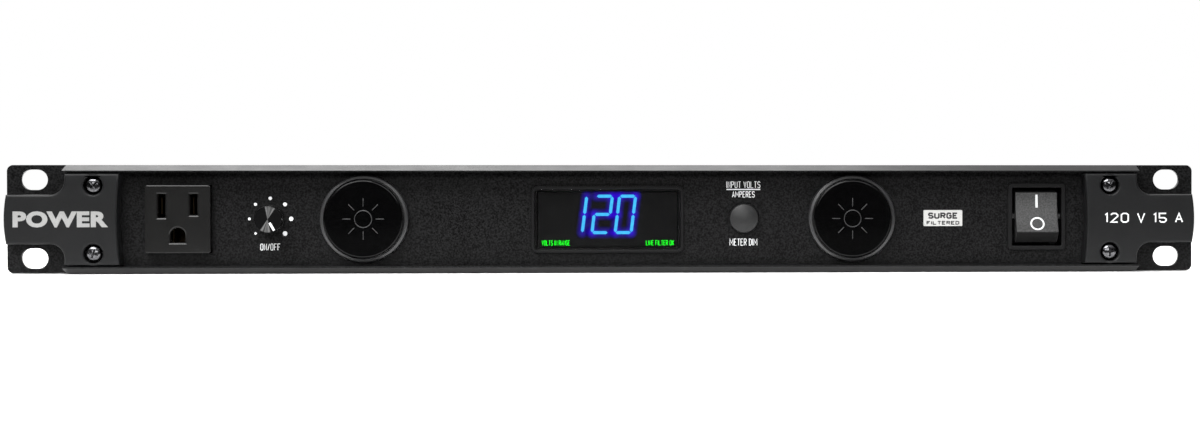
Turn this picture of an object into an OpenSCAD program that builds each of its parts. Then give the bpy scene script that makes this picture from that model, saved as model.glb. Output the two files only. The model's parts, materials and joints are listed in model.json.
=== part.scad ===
// One-unit rack power conditioner with two pull-out lamps, a meter, a dimmer and nine outlets.
// The origin is on the plane where the rack ears meet the rack rails, midway between the four slots.
// +X runs to the right of a person facing the panel, +Y runs back into the rack, +Z is up.

/* [Rack panel] */
// Width across the rack ears
panel_w = 482.6; // [481:0.1:483]
// Height of the panel: one rack unit less its clearance
panel_h = 43.66; // [43.5:0.01:43.9]
// Thickness of the panel plate at the ears
panel_t = 3; // [2.8:0.1:3.2]
// How far the tapered lips stand in front of the plate
lip_depth = 9; // [8.6:0.1:9.4]
// Sideways distance between the rack slots
slot_pitch_x = 461; // [460:0.5:462]
// Upright distance between the rack slots
slot_pitch_z = 31.75; // [31.5:0.05:32]
// End-to-end length of a rack slot
slot_l = 10.8; // [10.4:0.1:11.2]
// Height of a rack slot
slot_h = 8.2; // [7:0.1:8.4]

/* [Chassis] */
// Width of the steel tray
tray_w = 436; // [434:0.5:437]
// Depth of the steel tray behind the ears
tray_d = 200; // [196:1:210]
// Thickness of the sheet steel
sheet_t = 1.2; // [1:0.1:1.2]

/* [Front controls] */
// Sideways place of the convenience outlet
outlet_x = -172.9; // [-174:0.1:-172]
// Sideways place of the dimmer knob
dimmer_x = -136.4; // [-137:0.1:-136]
// Sideways place of the left lamp
left_lamp_x = -98.7; // [-99.5:0.1:-98]
// Sideways place of the right lamp
right_lamp_x = 99.7; // [99:0.1:100.5]
// Sideways place of the meter
meter_x = -0.3; // [-1:0.1:1]
// Sideways place of the meter button
button_x = 55.4; // [55:0.1:55.6]
// Sideways place of the printed badge
badge_x = 137.5; // [136:0.1:139]
// Sideways place of the power switch
switch_x = 176.4; // [176:0.1:177]
// Height of the power switch's middle above the panel's middle
switch_z = 0.6; // [0:0.1:0.8]
// Half the rocker's swing, from the middle to on or to off
rocker_tilt = 17; // [14:0.5:17]

/* [Pull-out lamps] */
// Outer radius of the sliding lamp tube
tube_r = 14.6; // [14.4:0.05:14.6]
// How far behind the ears the tube reaches
tube_back = 110; // [108:1:112]
// Radius of the pull cap on the tube
pull_r = 15.9; // [15.7:0.05:15.9]

/* [Rear] */
// Spacing of the six banked outlets
bank_pitch = 33; // [32:0.5:33]
// Radius of the power cord
cord_r = 4.6; // [4.2:0.1:4.6]
// Radius of the coiled cord's centre line
coil_r = 30; // [29:1:31]

/* [Hidden] */
$fn = 64;

gap = 0.1;                              // running gap between a guided part and its guide
plate_front = -panel_t;                 // front face of the panel plate
rebate = 0.5;                           // depth of the step that seats the chassis
plate_back = -rebate;                   // back face of the plate between the ears
nose = plate_front - lip_depth;         // front edge of the lips
lip_inner_z = 19;                       // inner face of each lip
lip_nose_t = 0.6;                       // thickness of a lip at its front edge
lip_end_x = 217.8;                      // where both lips stop, short of the slots
ear_corner_r = 2.5;
rebate_x = tray_w / 2 + 1.6;

cap_front = nose - 0.3;                 // front face of the end caps
cap_inner_x = 196.1;                    // waist of the cap's inner edge
cap_wide_x = 216.8;                     // where the wide part of the cap stops
cap_outer_x = 240.7;                    // crown of the cap's outer edge
cap_wide_z = 18.4;
cap_tongue_z = 9.9;
cap_fillet = 5.8;
cap_wall = 1.8;
cap_screw_x = 205.5;
cap_screw_z = 13.7;
cap_head_r = 3.3;
cap_head_h = 2.2;
cap_head_back = nose + 2.2;             // plane that the cap screws' heads seat on
cap_shank_r = 1.95;
cap_nut_t = 3;

tray_z = 21.4;                          // half the chassis height
wall_top = tray_z - sheet_t - gap;      // top of the tray's walls
floor_top = -tray_z + sheet_t;
flange_back = plate_back + sheet_t;     // back of the tray's front flange
rear_front = tray_d - sheet_t;          // front of the rear wall
cover_skirt_z = 6;                      // lower edge of the cover's side flanges
cover_back = tray_d + gap + sheet_t;
cover_screw_y = [30, 100, 170];
cover_screw_x = [-205, -68, 68, 205];
cover_side_z = 13;
cover_rear_z = 18.2;
cover_screw_r = 1.45;
vent_pitch = 7;
vent_w = 3;

outlet_w = 26;
outlet_h = 27.4;
outlet_stand = 4.5;                     // how far an outlet's face stands off its panel
outlet_depth = 25;
blade_x = 6.35;                         // half of the 12.7 mm blade pitch
blade_z = 5.4;
ground_z = blade_z - 11.9;
slot_top = 10;                          // upper end of both blade slots
clip_front = 3.8;                       // snap-in clips stand behind the panel and the tray's flange
chamber_back = 17.4;

dimmer_face = 12.6;                     // distance of the knob's rim in front of the ears' back
knob_r = 5.6;
shaft_r = 3;
bushing_r = 4.2;
pointer_angle = -60;                    // the knob rests at full brightness

bezel_r = 17.9;
sleeve_r = 16.1;
sleeve_back = 12;
sleeve_bore = tube_r + 0.2;
seat_front = 4.6;                       // depth of the seat behind the pull cap
tube_wall = 1.2;
tube_front = 4.65;
tube_bore = tube_r - tube_wall;
spigot_r = 5;
tube_end_t = 2;
shoe_x = 6;
track_front = 14;
track_back = tube_back + 14;
window_front = 8;                       // ends of the window in the tube
window_back = 96;
window_x = 8;

meter_w = 62;
meter_h = 27.4;
meter_z = -0.4;
window_w = 59.4;
window_h = 24.8;
collar_w = 57.4;
collar_h = 22.8;
board_front = 6.2;                      // front of the meter's circuit board
button_r = 6.1;

switch_w = 24;
switch_h = 27.6;
switch_window_w = 20.4;
switch_window_h = 24;
switch_body_w = 21.8;
switch_body_h = 25.8;
switch_back = 26;
terminal_x = 6;
terminal_z = 7;
pivot_y = 1.5;                          // the rocker's axle, behind the ears' back plane
rocker_w = 17.4;
rocker_face = 7.2;                      // distance of the face's two ends in front of the axle
rocker_end_z = 8.4;                     // half the height of the face
rocker_hollow_r = 24;                   // radius that the face is hollowed to
pivot_r = 1.5;
switch_plate = -3;                      // plane that the switch flange sits on
lamp_switch_scale = 0.62;               // the rear switch is the same design, smaller

bank_x = [for (i = [0:5]) -190 + bank_pitch * i];
outlet_xs = concat(bank_x, [22, 69]);   // the last two are spaced for bulky adapters
breaker_x = 105;
jack_x = 131;
lamp_switch_x = 155;
cord_x = 190;
coil_x = cord_x - coil_r;
coil_y = tray_d + 45;
coil_pitch = 2 * cord_r + gap;
coil_low_z = -tray_z + cord_r;
cord_exit_z = coil_low_z + coil_pitch * 2;
plug_x = coil_x - 44;
plug_z = -9;

surge_z = -14.8;                        // underside of the surge board
pcb_t = 1.6;
wire_r = 1.2;

// ---- helpers ---------------------------------------------------------------

// Extrudes a shape drawn in X and Z, from y_back forward to y_front.
module slab(y_back, y_front)
    translate([0, y_back, 0]) rotate([90, 0, 0]) linear_extrude(y_back - y_front) children();

// Turns a profile of [radius, distance forward] points about the Y axis.
module turned(points)
    rotate([90, 0, 0]) rotate_extrude() polygon(points);

// Extrudes a shape drawn in Y and Z, from x_low to x_high.
module rail(x_low, x_high)
    translate([x_low, 0, 0]) rotate([90, 0, 90]) linear_extrude(x_high - x_low) children();

module block(low, high)
    translate(low) cube(high - low);

module round_rect(w, h, r) {
    square([w - 2 * r, h], center = true);
    square([w, h - 2 * r], center = true);
    for (x = [-1, 1], z = [-1, 1])
        translate([x * (w / 2 - r), z * (h / 2 - r)]) circle(r);
}

module slot_shape(length, height) {
    square([length - height, height], center = true);
    for (x = [-1, 1])
        translate([x * (length - height) / 2, 0]) circle(height / 2);
}

// A round wire along straight runs, with a slightly fuller ball at each bend.
module wire(points, r) {
    for (i = [0:len(points) - 2]) {
        run = points[i + 1] - points[i];
        translate(points[i]) rotate([0, acos(run.z / norm(run)), atan2(run.y, run.x)])
            cylinder(h = norm(run), r = r);
    }
    for (i = [1:len(points) - 2]) translate(points[i]) sphere(1.03 * r);
}

// ---- panel and chassis -----------------------------------------------------

// Every opening behind the panel's controls, each grown by c on all sides.
module control_openings(c) {
    translate([outlet_x, 0]) square([outlet_w + 2 * gap + c, outlet_h + 2 * gap + c], center = true);
    translate([dimmer_x, 0]) circle(bushing_r + 0.2 + c);
    for (x = [left_lamp_x, right_lamp_x]) translate([x, 0]) circle(sleeve_r + gap + c);
    translate([meter_x, meter_z]) square([window_w + 0.2 + c, window_h + 0.2 + c], center = true);
    translate([switch_x, switch_z])
        square([switch_body_w + 0.4 + c, switch_body_h + 0.4 + c], center = true);
    for (x = [-1, 1], z = [-1, 1])
        translate([x * cap_screw_x, z * cap_screw_z]) circle(cap_shank_r + gap);
}

module lip()
    rail(-lip_end_x, lip_end_x)
        polygon([[plate_front / 2, lip_inner_z], [nose, lip_inner_z], [nose, lip_inner_z + lip_nose_t],
            [plate_front, panel_h / 2], [plate_front / 2, panel_h / 2]]);

module front_panel() color("#1d1d1e") difference() {
    union() {
        slab(0, plate_front) round_rect(panel_w, panel_h, ear_corner_r);
        lip();
        mirror([0, 0, 1]) lip();
    }
    block([-rebate_x, plate_back, -panel_h], [rebate_x, 1, panel_h]);
    slab(1, plate_front - 1) control_openings(0);
    slab(1, plate_front - 1) translate([button_x, 0]) circle(button_r + 0.2);
    for (x = [-1, 1], z = [-1, 1])
        slab(1, plate_front - 1)
            translate([x * slot_pitch_x / 2, z * slot_pitch_z / 2]) slot_shape(slot_l, slot_h);
}

// Outline of the right end cap: a wide part between the lips and a tongue out to the ear's edge.
module cap_outline() {
    waist_rise = 1.1;
    waist_r = (cap_wide_z ^ 2 + waist_rise ^ 2) / (2 * waist_rise);
    crown_rise = 0.9;
    crown_r = (cap_tongue_z ^ 2 + crown_rise ^ 2) / (2 * crown_rise);
    corner_x = cap_wide_x + cap_fillet;
    corner_z = cap_tongue_z + cap_fillet;
    intersection() {
        difference() {
            union() {
                translate([cap_inner_x - 3, -cap_wide_z])
                    square([cap_wide_x - cap_inner_x + 3, 2 * cap_wide_z]);
                translate([cap_inner_x, -cap_tongue_z])
                    square([cap_outer_x - cap_inner_x, 2 * cap_tongue_z]);
                for (s = [-1, 1])
                    difference() {
                        translate([(cap_wide_x + corner_x) / 2, s * (cap_tongue_z + corner_z) / 2])
                            square(cap_fillet, center = true);
                        translate([corner_x, s * corner_z]) circle(cap_fillet);
                    }
            }
            translate([cap_inner_x - waist_r, 0]) circle(waist_r);
        }
        translate([cap_outer_x - crown_r, 0]) circle(crown_r);
    }
}

module right_cap() difference() {
    slab(plate_front, cap_front) cap_outline();
    difference() {
        union() {
            block([cap_inner_x + cap_wall, cap_front + cap_wall, -cap_wide_z + cap_wall],
                [cap_wide_x - cap_wall, 0, cap_wide_z - cap_wall]);
            block([cap_wide_x - cap_wall - 1, cap_front + cap_wall, -cap_tongue_z + cap_wall],
                [cap_outer_x - 2 * cap_wall, 0, cap_tongue_z - cap_wall]);
        }
        for (z = [-1, 1])
            slab(1, cap_front) translate([cap_screw_x, z * cap_screw_z]) circle(cap_head_r + 2);
    }
    for (z = [-1, 1]) {
        slab(0, cap_front - 1) translate([cap_screw_x, z * cap_screw_z]) circle(cap_shank_r + 0.15);
        slab(cap_head_back, cap_front - 1)
            translate([cap_screw_x, z * cap_screw_z]) circle(cap_head_r + 0.5);
    }
}

module right_end_cap() color("#343536") right_cap();
module left_end_cap() color("#343536") mirror([1, 0, 0]) right_cap();

module at_cap_screws()
    for (x = [-1, 1], z = [-1, 1])
        translate([x * cap_screw_x, 0, z * cap_screw_z]) children();

// Pan head with a cross recess.
module end_cap_screws() color("#0f0f10") at_cap_screws() difference() {
    union() {
        turned([[0, -cap_head_back], [cap_head_r, -cap_head_back], [cap_head_r, -cap_head_back + 1],
            [cap_head_r * 0.7, -cap_head_back + cap_head_h * 0.85], [0, -cap_head_back + cap_head_h]]);
        slab(flange_back + cap_nut_t + 1, cap_head_back) circle(cap_shank_r);
    }
    slab(cap_head_back - 1, cap_head_back - 3)
        for (a = [45, 135]) rotate(a) square([3.4, 0.7], center = true);
}

module end_cap_nuts() color("silver") at_cap_screws()
    slab(flange_back + cap_nut_t, flange_back) hex_nut(7.8, cap_shank_r + 0.02);

// Openings in the rear wall.
module rear_openings() {
    for (x = outlet_xs)
        translate([x, 0]) square([outlet_h + 2 * gap, outlet_w + 2 * gap], center = true);
    translate([breaker_x, 0]) circle(6);
    translate([jack_x, 0]) circle(6.4);
    translate([lamp_switch_x, 0])
        square(lamp_switch_scale * [switch_body_w + 0.4, switch_body_h + 0.4], center = true);
    translate([cord_x, cord_exit_z]) circle(9.1);
}

module chassis_tray() color("#232324") difference() {
    union() {
        block([-tray_w / 2, plate_back, -tray_z], [tray_w / 2, tray_d, floor_top]);
        for (x = [-tray_w / 2, tray_w / 2 - sheet_t])
            block([x, plate_back, -tray_z], [x + sheet_t, tray_d, wall_top]);
        block([-tray_w / 2, plate_back, -tray_z], [tray_w / 2, flange_back, wall_top]);
        block([-tray_w / 2, rear_front, -tray_z], [tray_w / 2, tray_d, wall_top]);
    }
    slab(2, -2) control_openings(1);
    slab(2, -2) translate([button_x, 0]) circle(button_r + 2);
    slab(tray_d + 1, rear_front - 1) rear_openings();
    at_side_screws() rotate([0, 90, 0]) cylinder(h = 12, r = cover_screw_r + 0.02, center = true);
    at_rear_screws() slab(6, -6) circle(cover_screw_r + 0.02);
    for (x = [-1, 1], i = [0:9])
        translate([x * tray_w / 2, 55 + vent_pitch * i, -9]) rotate([0, 90, 0])
            linear_extrude(6, center = true) slot_shape(14, vent_w);
}

module at_side_screws()
    for (x = [-1, 1], y = cover_screw_y)
        translate([x * (tray_w / 2 + sheet_t + gap), y, cover_side_z]) children();

module at_rear_screws()
    for (x = cover_screw_x) translate([x, cover_back, cover_rear_z]) children();

module top_cover() color("#252526") difference() {
    union() {
        block([-tray_w / 2 - gap - sheet_t, plate_back + gap, wall_top + gap],
            [tray_w / 2 + gap + sheet_t, cover_back, tray_z]);
        for (x = [-tray_w / 2 - gap - sheet_t, tray_w / 2 + gap])
            block([x, plate_back + gap, cover_skirt_z], [x + sheet_t, tray_d, tray_z]);
        block([-tray_w / 2 + 1, tray_d + gap, 15.4], [tray_w / 2 - 1, cover_back, tray_z]);
    }
    at_side_screws() rotate([0, 90, 0]) cylinder(h = 12, r = cover_screw_r + 0.15, center = true);
    at_rear_screws() slab(6, -6) circle(cover_screw_r + 0.15);
    for (i = [0:13], y = [60, 92])
        translate([116 + vent_pitch * i, y, tray_z]) linear_extrude(4, center = true)
            rotate(90) slot_shape(24, vent_w);
}

module cover_screw() difference() {
    turned([[0, -5], [cover_screw_r, -5], [cover_screw_r, 0], [2.8, 0], [2.6, 0.9], [1.6, 1.5], [0, 1.6]]);
    slab(-0.7, -2) for (a = [0, 90]) rotate(a) square([2.6, 0.6], center = true);
}

module cover_screws() color("#141415") {
    for (y = cover_screw_y, s = [-1, 1])
        translate([s * (tray_w / 2 + sheet_t + gap), y, cover_side_z]) rotate([0, 0, s * 90]) cover_screw();
    at_rear_screws() rotate([0, 0, 180]) cover_screw();
}

// ---- outlets ---------------------------------------------------------------

// Local frame of an outlet: its panel's outer face is y = 0 and it faces -Y.
module outlet_slots() {
    translate([-blade_x - 1.4, slot_top - 9.3]) square([2.8, 9.3]);
    translate([blade_x - 1.4, slot_top - 8.3]) square([2.8, 8.3]);
    translate([0, ground_z]) {
        circle(3.3);
        translate([-3.3, -3.3]) square([6.6, 3.3]);
    }
}

module outlet_housing() difference() {
    union() {
        slab(outlet_depth, -outlet_stand) square([outlet_w, outlet_h], center = true);
        for (z = [-1, 1])
            slab(8, clip_front) translate([0, z * outlet_h / 2]) square([9, 1.4], center = true);
    }
    slab(chamber_back, -outlet_stand - 1) outlet_slots();
    slab(chamber_back, -1.5) {
        for (x = [-1, 1]) translate([x * blade_x, blade_z]) square([5.2, 10.6], center = true);
        translate([0, ground_z]) square([8.4, 8.4], center = true);
    }
    slab(outlet_depth + 1, chamber_back - 1) {
        for (x = [-1, 1]) translate([x * blade_x, blade_z]) square([1, 6.5], center = true);
        translate([0, ground_z]) square([1, 6.5], center = true);
    }
}

// One spring contact: two leaves, a bridge and a solder tab. half_gap is half the room for the blade.
module contact(half_gap, leaf_h) {
    leaf_t = 0.6;
    leaf_front = 3;
    bridge_front = 15.6;
    bridge_back = 16.4;
    for (x = [-half_gap - leaf_t, half_gap])
        block([x, leaf_front, -leaf_h / 2], [x + leaf_t, bridge_front, leaf_h / 2]);
    block([-half_gap - leaf_t, bridge_front, -leaf_h / 2], [half_gap + leaf_t, bridge_back, leaf_h / 2]);
    block([-0.4, bridge_back, -3.15], [0.4, outlet_depth + 7, 3.15]);
}

module outlet_contacts() {
    for (x = [-1, 1]) translate([x * blade_x, 0, blade_z]) contact(0.85, 7);
    translate([0, 0, ground_z]) contact(2.5, 6.4);
}

module front_outlet_housing() color("#262523") translate([outlet_x, plate_front, 0]) outlet_housing();
module front_outlet_contacts() color("#b08d4a") translate([outlet_x, plate_front, 0]) outlet_contacts();

module at_rear_outlets()
    for (x = outlet_xs) translate([x, tray_d, 0]) rotate([0, 90, 0]) rotate([0, 0, 180]) children();

module rear_outlet_housings() color("#262523") at_rear_outlets() outlet_housing();
module rear_outlet_contacts() color("#b08d4a") at_rear_outlets() outlet_contacts();

// ---- dimmer ----------------------------------------------------------------

module pointer_groove(grow)
    rotate(pointer_angle) translate([1.6 - grow, -0.45 - grow / 2]) square([3.6 + grow, 0.9 + grow]);

module dimmer_knob() color("#101011") translate([dimmer_x, 0, 0]) difference() {
    turned([[0, dimmer_face - 0.4], [knob_r - 0.5, dimmer_face], [knob_r, dimmer_face - 0.4],
        [knob_r, 4.8], [0, 4.8]]);
    slab(-4, -7.6) circle(bushing_r + 0.4);
    slab(-4, -11) circle(shaft_r + 0.02);
    slab(-dimmer_face + 0.7, -dimmer_face - 1) pointer_groove(0.04);
}

module dimmer_pointer() color("white") translate([dimmer_x, 0, 0])
    slab(-dimmer_face + 0.68, -dimmer_face + 0.06) pointer_groove(0);

module dimmer_shaft() color("silver") translate([dimmer_x, 0, 0]) slab(9.15, -10.9) circle(shaft_r);

module dimmer_plunger() color("ivory") translate([dimmer_x, 0, 0]) slab(15, 9.2) circle(2.4);

module dimmer_body() color("#3a4a3c") translate([dimmer_x, 0, 0]) difference() {
    union() {
        slab(9.5, 1.2) square(16, center = true);
        slab(1.3, -5.5) circle(bushing_r);
        slab(18.5, 9.4) square(12, center = true);
    }
    slab(10.3, -6) circle(shaft_r + 0.06);
    slab(17, 9) circle(2.46);
}

module dimmer_board() color("#1f5a34") translate([dimmer_x, 0, 0]) {
    slab(18.5 + pcb_t, 18.5) square([22, 35], center = true);
    for (z = [-1, 1]) slab(18.5, flange_back) translate([0, z * 14.5]) circle(2.2);
}

// ---- pull-out lamps --------------------------------------------------------

module lamp_bezel(x) color("#2b2c2d") translate([x, 0, 0])
    turned([[sleeve_bore, -sleeve_back], [sleeve_r, -sleeve_back], [sleeve_r, -plate_front],
        [bezel_r, -plate_front], [bezel_r, 5.2], [bezel_r - 0.3, 5.9], [bezel_r - 0.9, 6.3],
        [pull_r + 0.5, 6.1], [pull_r + 0.3, 5.7], [pull_r + 0.3, seat_front], [sleeve_bore, seat_front]]);

module lamp_cap(x) color("#0a0a0b") translate([x, 0, 0])
    turned([[0, -2], [tube_bore - gap, -2], [tube_bore - gap, seat_front + gap], [pull_r, seat_front + gap],
        [pull_r, 8.2], [pull_r - 0.3, 8.9], [pull_r - 1, 9.2], [0, 9.2]]);

module lamp_tube(x) color("#1a1a1b") translate([x, 0, 0]) difference() {
    turned([[tube_bore, tube_front], [tube_r, tube_front], [tube_r, -tube_back],
        [spigot_r + 0.08, -tube_back], [spigot_r + 0.08, -tube_back + tube_end_t],
        [tube_bore, -tube_back + tube_end_t]]);
    block([-window_x, window_front, -tube_r - 1], [window_x, window_back, -tube_r / 2]);
}

module lamp_lens(x) color([1, 1, 1, 0.5]) translate([x, 0, 0]) intersection() {
    turned([[tube_bore + gap, 0], [tube_r - gap, 0],
        [tube_r - gap, -tube_back], [tube_bore + gap, -tube_back]]);
    block([-window_x + gap, window_front + gap, -tube_r],
        [window_x - gap, window_back - gap, -tube_r / 2]);
}

// A circuit board across the tube, with a row of lamps that face the window.
module lamp_board(x) color("#e8e8e2") translate([x, 0, 0]) {
    block([-12, 4, -3.8], [12, 104, -2.2]);
    for (y = [16:14:86])
        translate([0, y, -3.8]) {
            translate([0, 0, -0.7]) cube([5, 5, 1.5], center = true);
            translate([0, 0, -1.4]) sphere(1.8);
        }
}

module lamp_carriage(x) color("#2f3030") translate([x, 0, 0]) {
    turned([[0, -tube_back - 0.2], [tube_r - 0.2, -tube_back - 0.2],
        [tube_r - 0.2, -tube_back - 6], [0, -tube_back - 6]]);
    slab(tube_back + 1, tube_back - 3) circle(spigot_r);
    slab(tube_back - tube_end_t - gap, tube_back - 4) circle(spigot_r + 1.2);
    block([-shoe_x, tube_back + 0.2, -tray_z + 2.3], [shoe_x, tube_back + 8, -12]);
}

module lamp_track(x) color("#303132") translate([x, 0, 0]) {
    block([-shoe_x - 2.5, track_front, floor_top], [shoe_x + 2.5, track_back, floor_top + 0.9]);
    for (s = [-shoe_x - 2.5, shoe_x + 0.2])
        block([s, track_front, floor_top], [s + 2.3, track_back, -15.6]);
    block([-shoe_x - 1, track_back - 2, floor_top], [shoe_x + 1, track_back, -15.6]);
}

module lamp_locknuts() color("#2b2c2d")
    for (x = [left_lamp_x, right_lamp_x]) translate([x, 0, 0]) difference() {
        slab(flange_back + 3.2, flange_back) circle(18.6);
        slab(flange_back + 4, -1) circle(sleeve_r + 0.04);
        for (a = [0:60:300]) rotate([0, a, 0]) translate([19.2, 2, 0]) cube([2.4, 8, 4], center = true);
    }

module left_lamp_bezel() lamp_bezel(left_lamp_x);
module left_lamp_cap() lamp_cap(left_lamp_x);
module left_lamp_tube() lamp_tube(left_lamp_x);
module left_lamp_lens() lamp_lens(left_lamp_x);
module left_lamp_board() lamp_board(left_lamp_x);
module left_lamp_carriage() lamp_carriage(left_lamp_x);
module left_lamp_track() lamp_track(left_lamp_x);
module right_lamp_bezel() lamp_bezel(right_lamp_x);
module right_lamp_cap() lamp_cap(right_lamp_x);
module right_lamp_tube() lamp_tube(right_lamp_x);
module right_lamp_lens() lamp_lens(right_lamp_x);
module right_lamp_board() lamp_board(right_lamp_x);
module right_lamp_carriage() lamp_carriage(right_lamp_x);
module right_lamp_track() lamp_track(right_lamp_x);

// ---- meter -----------------------------------------------------------------

module meter_bezel() color("#202122") translate([meter_x, 0, meter_z]) difference() {
    union() {
        slab(plate_front, plate_front - 1.4) round_rect(meter_w, meter_h, 2.6);
        slab(0.9, plate_front - 0.1) square([window_w, window_h], center = true);
    }
    slab(plate_front - 0.4, plate_front - 2) round_rect(window_w + 0.2, window_h + 0.2, 1.6);
    slab(2, plate_front - 2) square([collar_w, collar_h], center = true);
}

module meter_window() color([0.05, 0.05, 0.07, 0.6]) translate([meter_x, 0, meter_z])
    slab(plate_front - 0.42, plate_front - 1.35) round_rect(window_w, window_h, 1.5);

module meter_display() color("#101018") translate([meter_x, 0, meter_z])
    slab(board_front, plate_front) square([collar_w - 0.4, collar_h - 0.4], center = true);

module meter_board() color("#1f5a34") {
    difference() {
        block([meter_x - 34, board_front, -18.6], [67, board_front + pcb_t, 18.6]);
        slab(board_front + 3, board_front - 1) translate([20, 0]) circle(1.6);
    }
    for (x = [meter_x - 31.5, 64], z = [-1, 1])
        slab(board_front, flange_back) translate([x, z * 16.5]) circle(2);
    translate([button_x, 0, 0]) {
        slab(board_front, board_front - 1.6) square(6.2, center = true);
        slab(board_front - 1.6, board_front - 2.6) circle(1.6);
    }
}

module meter_button() color("#2c2d2e") translate([button_x, 0, 0])
    turned([[0, -2.5], [1.5, -2.5], [1.5, -0.8], [button_r + 1.3, -0.8], [button_r + 1.3, 0.4],
        [button_r, 0.4], [button_r, 4.9], [button_r - 0.4, 5.7], [button_r * 0.6, 6.3], [0, 6.5]]);

module panel_badge() color("#dcdcda")
    slab(plate_front, plate_front - 0.3) translate([badge_x, 0]) round_rect(16.1, 6.6, 0.4);

// ---- rocker switches -------------------------------------------------------

// Local frame of a switch: it faces -Y, its flange sits on y = switch_plate, its middle is on the axis.
module rocker_frame() difference() {
    union() {
        slab(switch_plate, switch_plate - 1.2) round_rect(switch_w, switch_h, 1.6);
        slab(switch_back, switch_plate - 0.1) square([switch_body_w, switch_body_h], center = true);
    }
    slab(11, switch_plate - 2) square([switch_window_w, switch_window_h], center = true);
    translate([0, pivot_y, 0]) rotate([0, 90, 0]) cylinder(h = 40, r = pivot_r + 0.05, center = true);
}

// Side view of the rocker about its axle: a hollowed face, flared ends and a narrow back.
module rocker_side() difference() {
    polygon([[-rocker_face, -rocker_end_z], [-rocker_face, rocker_end_z], [-0.6, 11.6], [1.6, 9.6],
        [4.4, 3], [4.4, -3], [1.6, -9.6], [-0.6, -11.6]]);
    translate([-rocker_face - sqrt(rocker_hollow_r ^ 2 - rocker_end_z ^ 2), 0]) circle(rocker_hollow_r);
}

module rocker_key() translate([0, pivot_y, 0]) rotate([-rocker_tilt, 0, 0]) {
    rail(-rocker_w / 2, rocker_w / 2) rocker_side();
    rotate([0, 90, 0]) cylinder(h = switch_body_w - 0.4, r = pivot_r, center = true);
}

module rocker_terminals()
    for (x = [-1, 1], z = [-1, 1])
        block([x * terminal_x - 0.4, switch_back, z * terminal_z - 3.15],
            [x * terminal_x + 0.4, switch_back + 9, z * terminal_z + 3.15]);

module switch_frame() color("#19191a") translate([switch_x, 0, switch_z]) rocker_frame();
module switch_rocker() color("#4c4c4c") translate([switch_x, 0, switch_z]) rocker_key();
module switch_terminals() color("silver") translate([switch_x, 0, switch_z]) rocker_terminals();

module at_lamp_switch()
    translate([lamp_switch_x, tray_d + switch_plate * lamp_switch_scale, 0])
        rotate([0, 0, 180]) scale(lamp_switch_scale) children();

module lamp_switch_frame() color("#19191a") at_lamp_switch() rocker_frame();
module lamp_switch_rocker() color("#2a2a2a") at_lamp_switch() rocker_key();

// ---- rear fittings ---------------------------------------------------------

module rear_turned(x, z, points)
    translate([x, tray_d, z]) rotate([0, 0, 180]) turned(points);

module rear_slab(x, out_low, out_high)
    translate([x, tray_d + out_low, 0]) rotate([-90, 0, 0]) linear_extrude(out_high - out_low) children();

module breaker_body() color("#161617") difference() {
    union() {
        rear_slab(breaker_x, -34, -sheet_t) square([15, 30], center = true);
        rear_slab(breaker_x, -sheet_t - 1, 7) circle(5.9);
    }
    rear_slab(breaker_x, -14, 8) circle(4.3);
}

module breaker_button() color("#0f0f10")
    rear_turned(breaker_x, 0, [[0, -10], [4.2, -10], [4.2, 9.4], [3.8, 10], [0, 10.2]]);

module hex_nut(across_corners, bore_r) difference() {
    circle(across_corners / 2, $fn = 6);
    circle(bore_r);
}

// One nut outside the wall on the breaker's collar, one inside it on the lamp jack.
module rear_locknuts() color("silver") {
    rear_slab(breaker_x, 0, 2.6) hex_nut(16.8, 5.94);
    rear_slab(jack_x, -4.2, -sheet_t) hex_nut(17.2, 6.34);
}

// Bayonet socket for a plug-in work lamp.
module lamp_jack() color("#b9bcbf") {
    difference() {
        union() {
            rear_slab(jack_x, -9, 0.5) circle(6.3);
            rear_slab(jack_x, 0, 1.6) circle(7.6);
            rear_slab(jack_x, 1.5, 11) circle(4.8);
            translate([jack_x, tray_d + 8.6, 0]) rotate([0, 90, 0])
                cylinder(h = 11.4, r = 1, center = true);
        }
        rear_slab(jack_x, 2, 12) circle(4.1);
    }
}

module lamp_jack_contact() color("#c8a24a")
    rear_slab(jack_x, 2, 9) circle(0.8);

module cord_bushing() color("#121213")
    rear_turned(cord_x, cord_exit_z, [[cord_r + 0.05, -5], [8.2, -5], [9, -3.5], [9, 0], [11.4, 0],
        [11.4, 2.6], [10.6, 3.4], [8, 3.6], [6.4, 16], [cord_r + 0.05, 16]]);

// One turn of the coil, from angle start round by sweep.
module coil_turn(i, start, sweep)
    translate([coil_x, coil_y, coil_low_z + i * coil_pitch]) rotate([0, 0, start])
        rotate_extrude(angle = sweep) translate([coil_r, 0]) circle(cord_r);

// The cord leaves the rear wall, joins the top turn of a tied coil and leaves the lowest turn for the plug.
module power_cord() color("#161617") {
    translate([cord_x, coil_y, cord_exit_z]) rotate([90, 0, 0])
        cylinder(h = coil_y - tray_d + 24, r = cord_r);
    coil_turn(2, 0, 330);
    coil_turn(1, 0, 360);
    coil_turn(0, 180, 270);
    translate([0, coil_y + coil_r, 0])
        wire([[coil_x, 0, coil_low_z], [coil_x - 14, 0, coil_low_z], [plug_x + 8, 0, plug_z],
            [plug_x - 9, 0, plug_z]], cord_r);
}

module plug_body() color("#161617") translate([plug_x, coil_y + coil_r, plug_z]) difference() {
    union() {
        rotate([0, -90, 0]) cylinder(h = 12, r = 7);
        translate([-30, 0, 0]) cube([22, 24, 22], center = true);
        translate([-12, 0, 0]) cube([16, 18, 18], center = true);
    }
    translate([-10, 0, 0]) rotate([0, 90, 0]) cylinder(h = 20, r = cord_r + 0.05);
}

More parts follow.
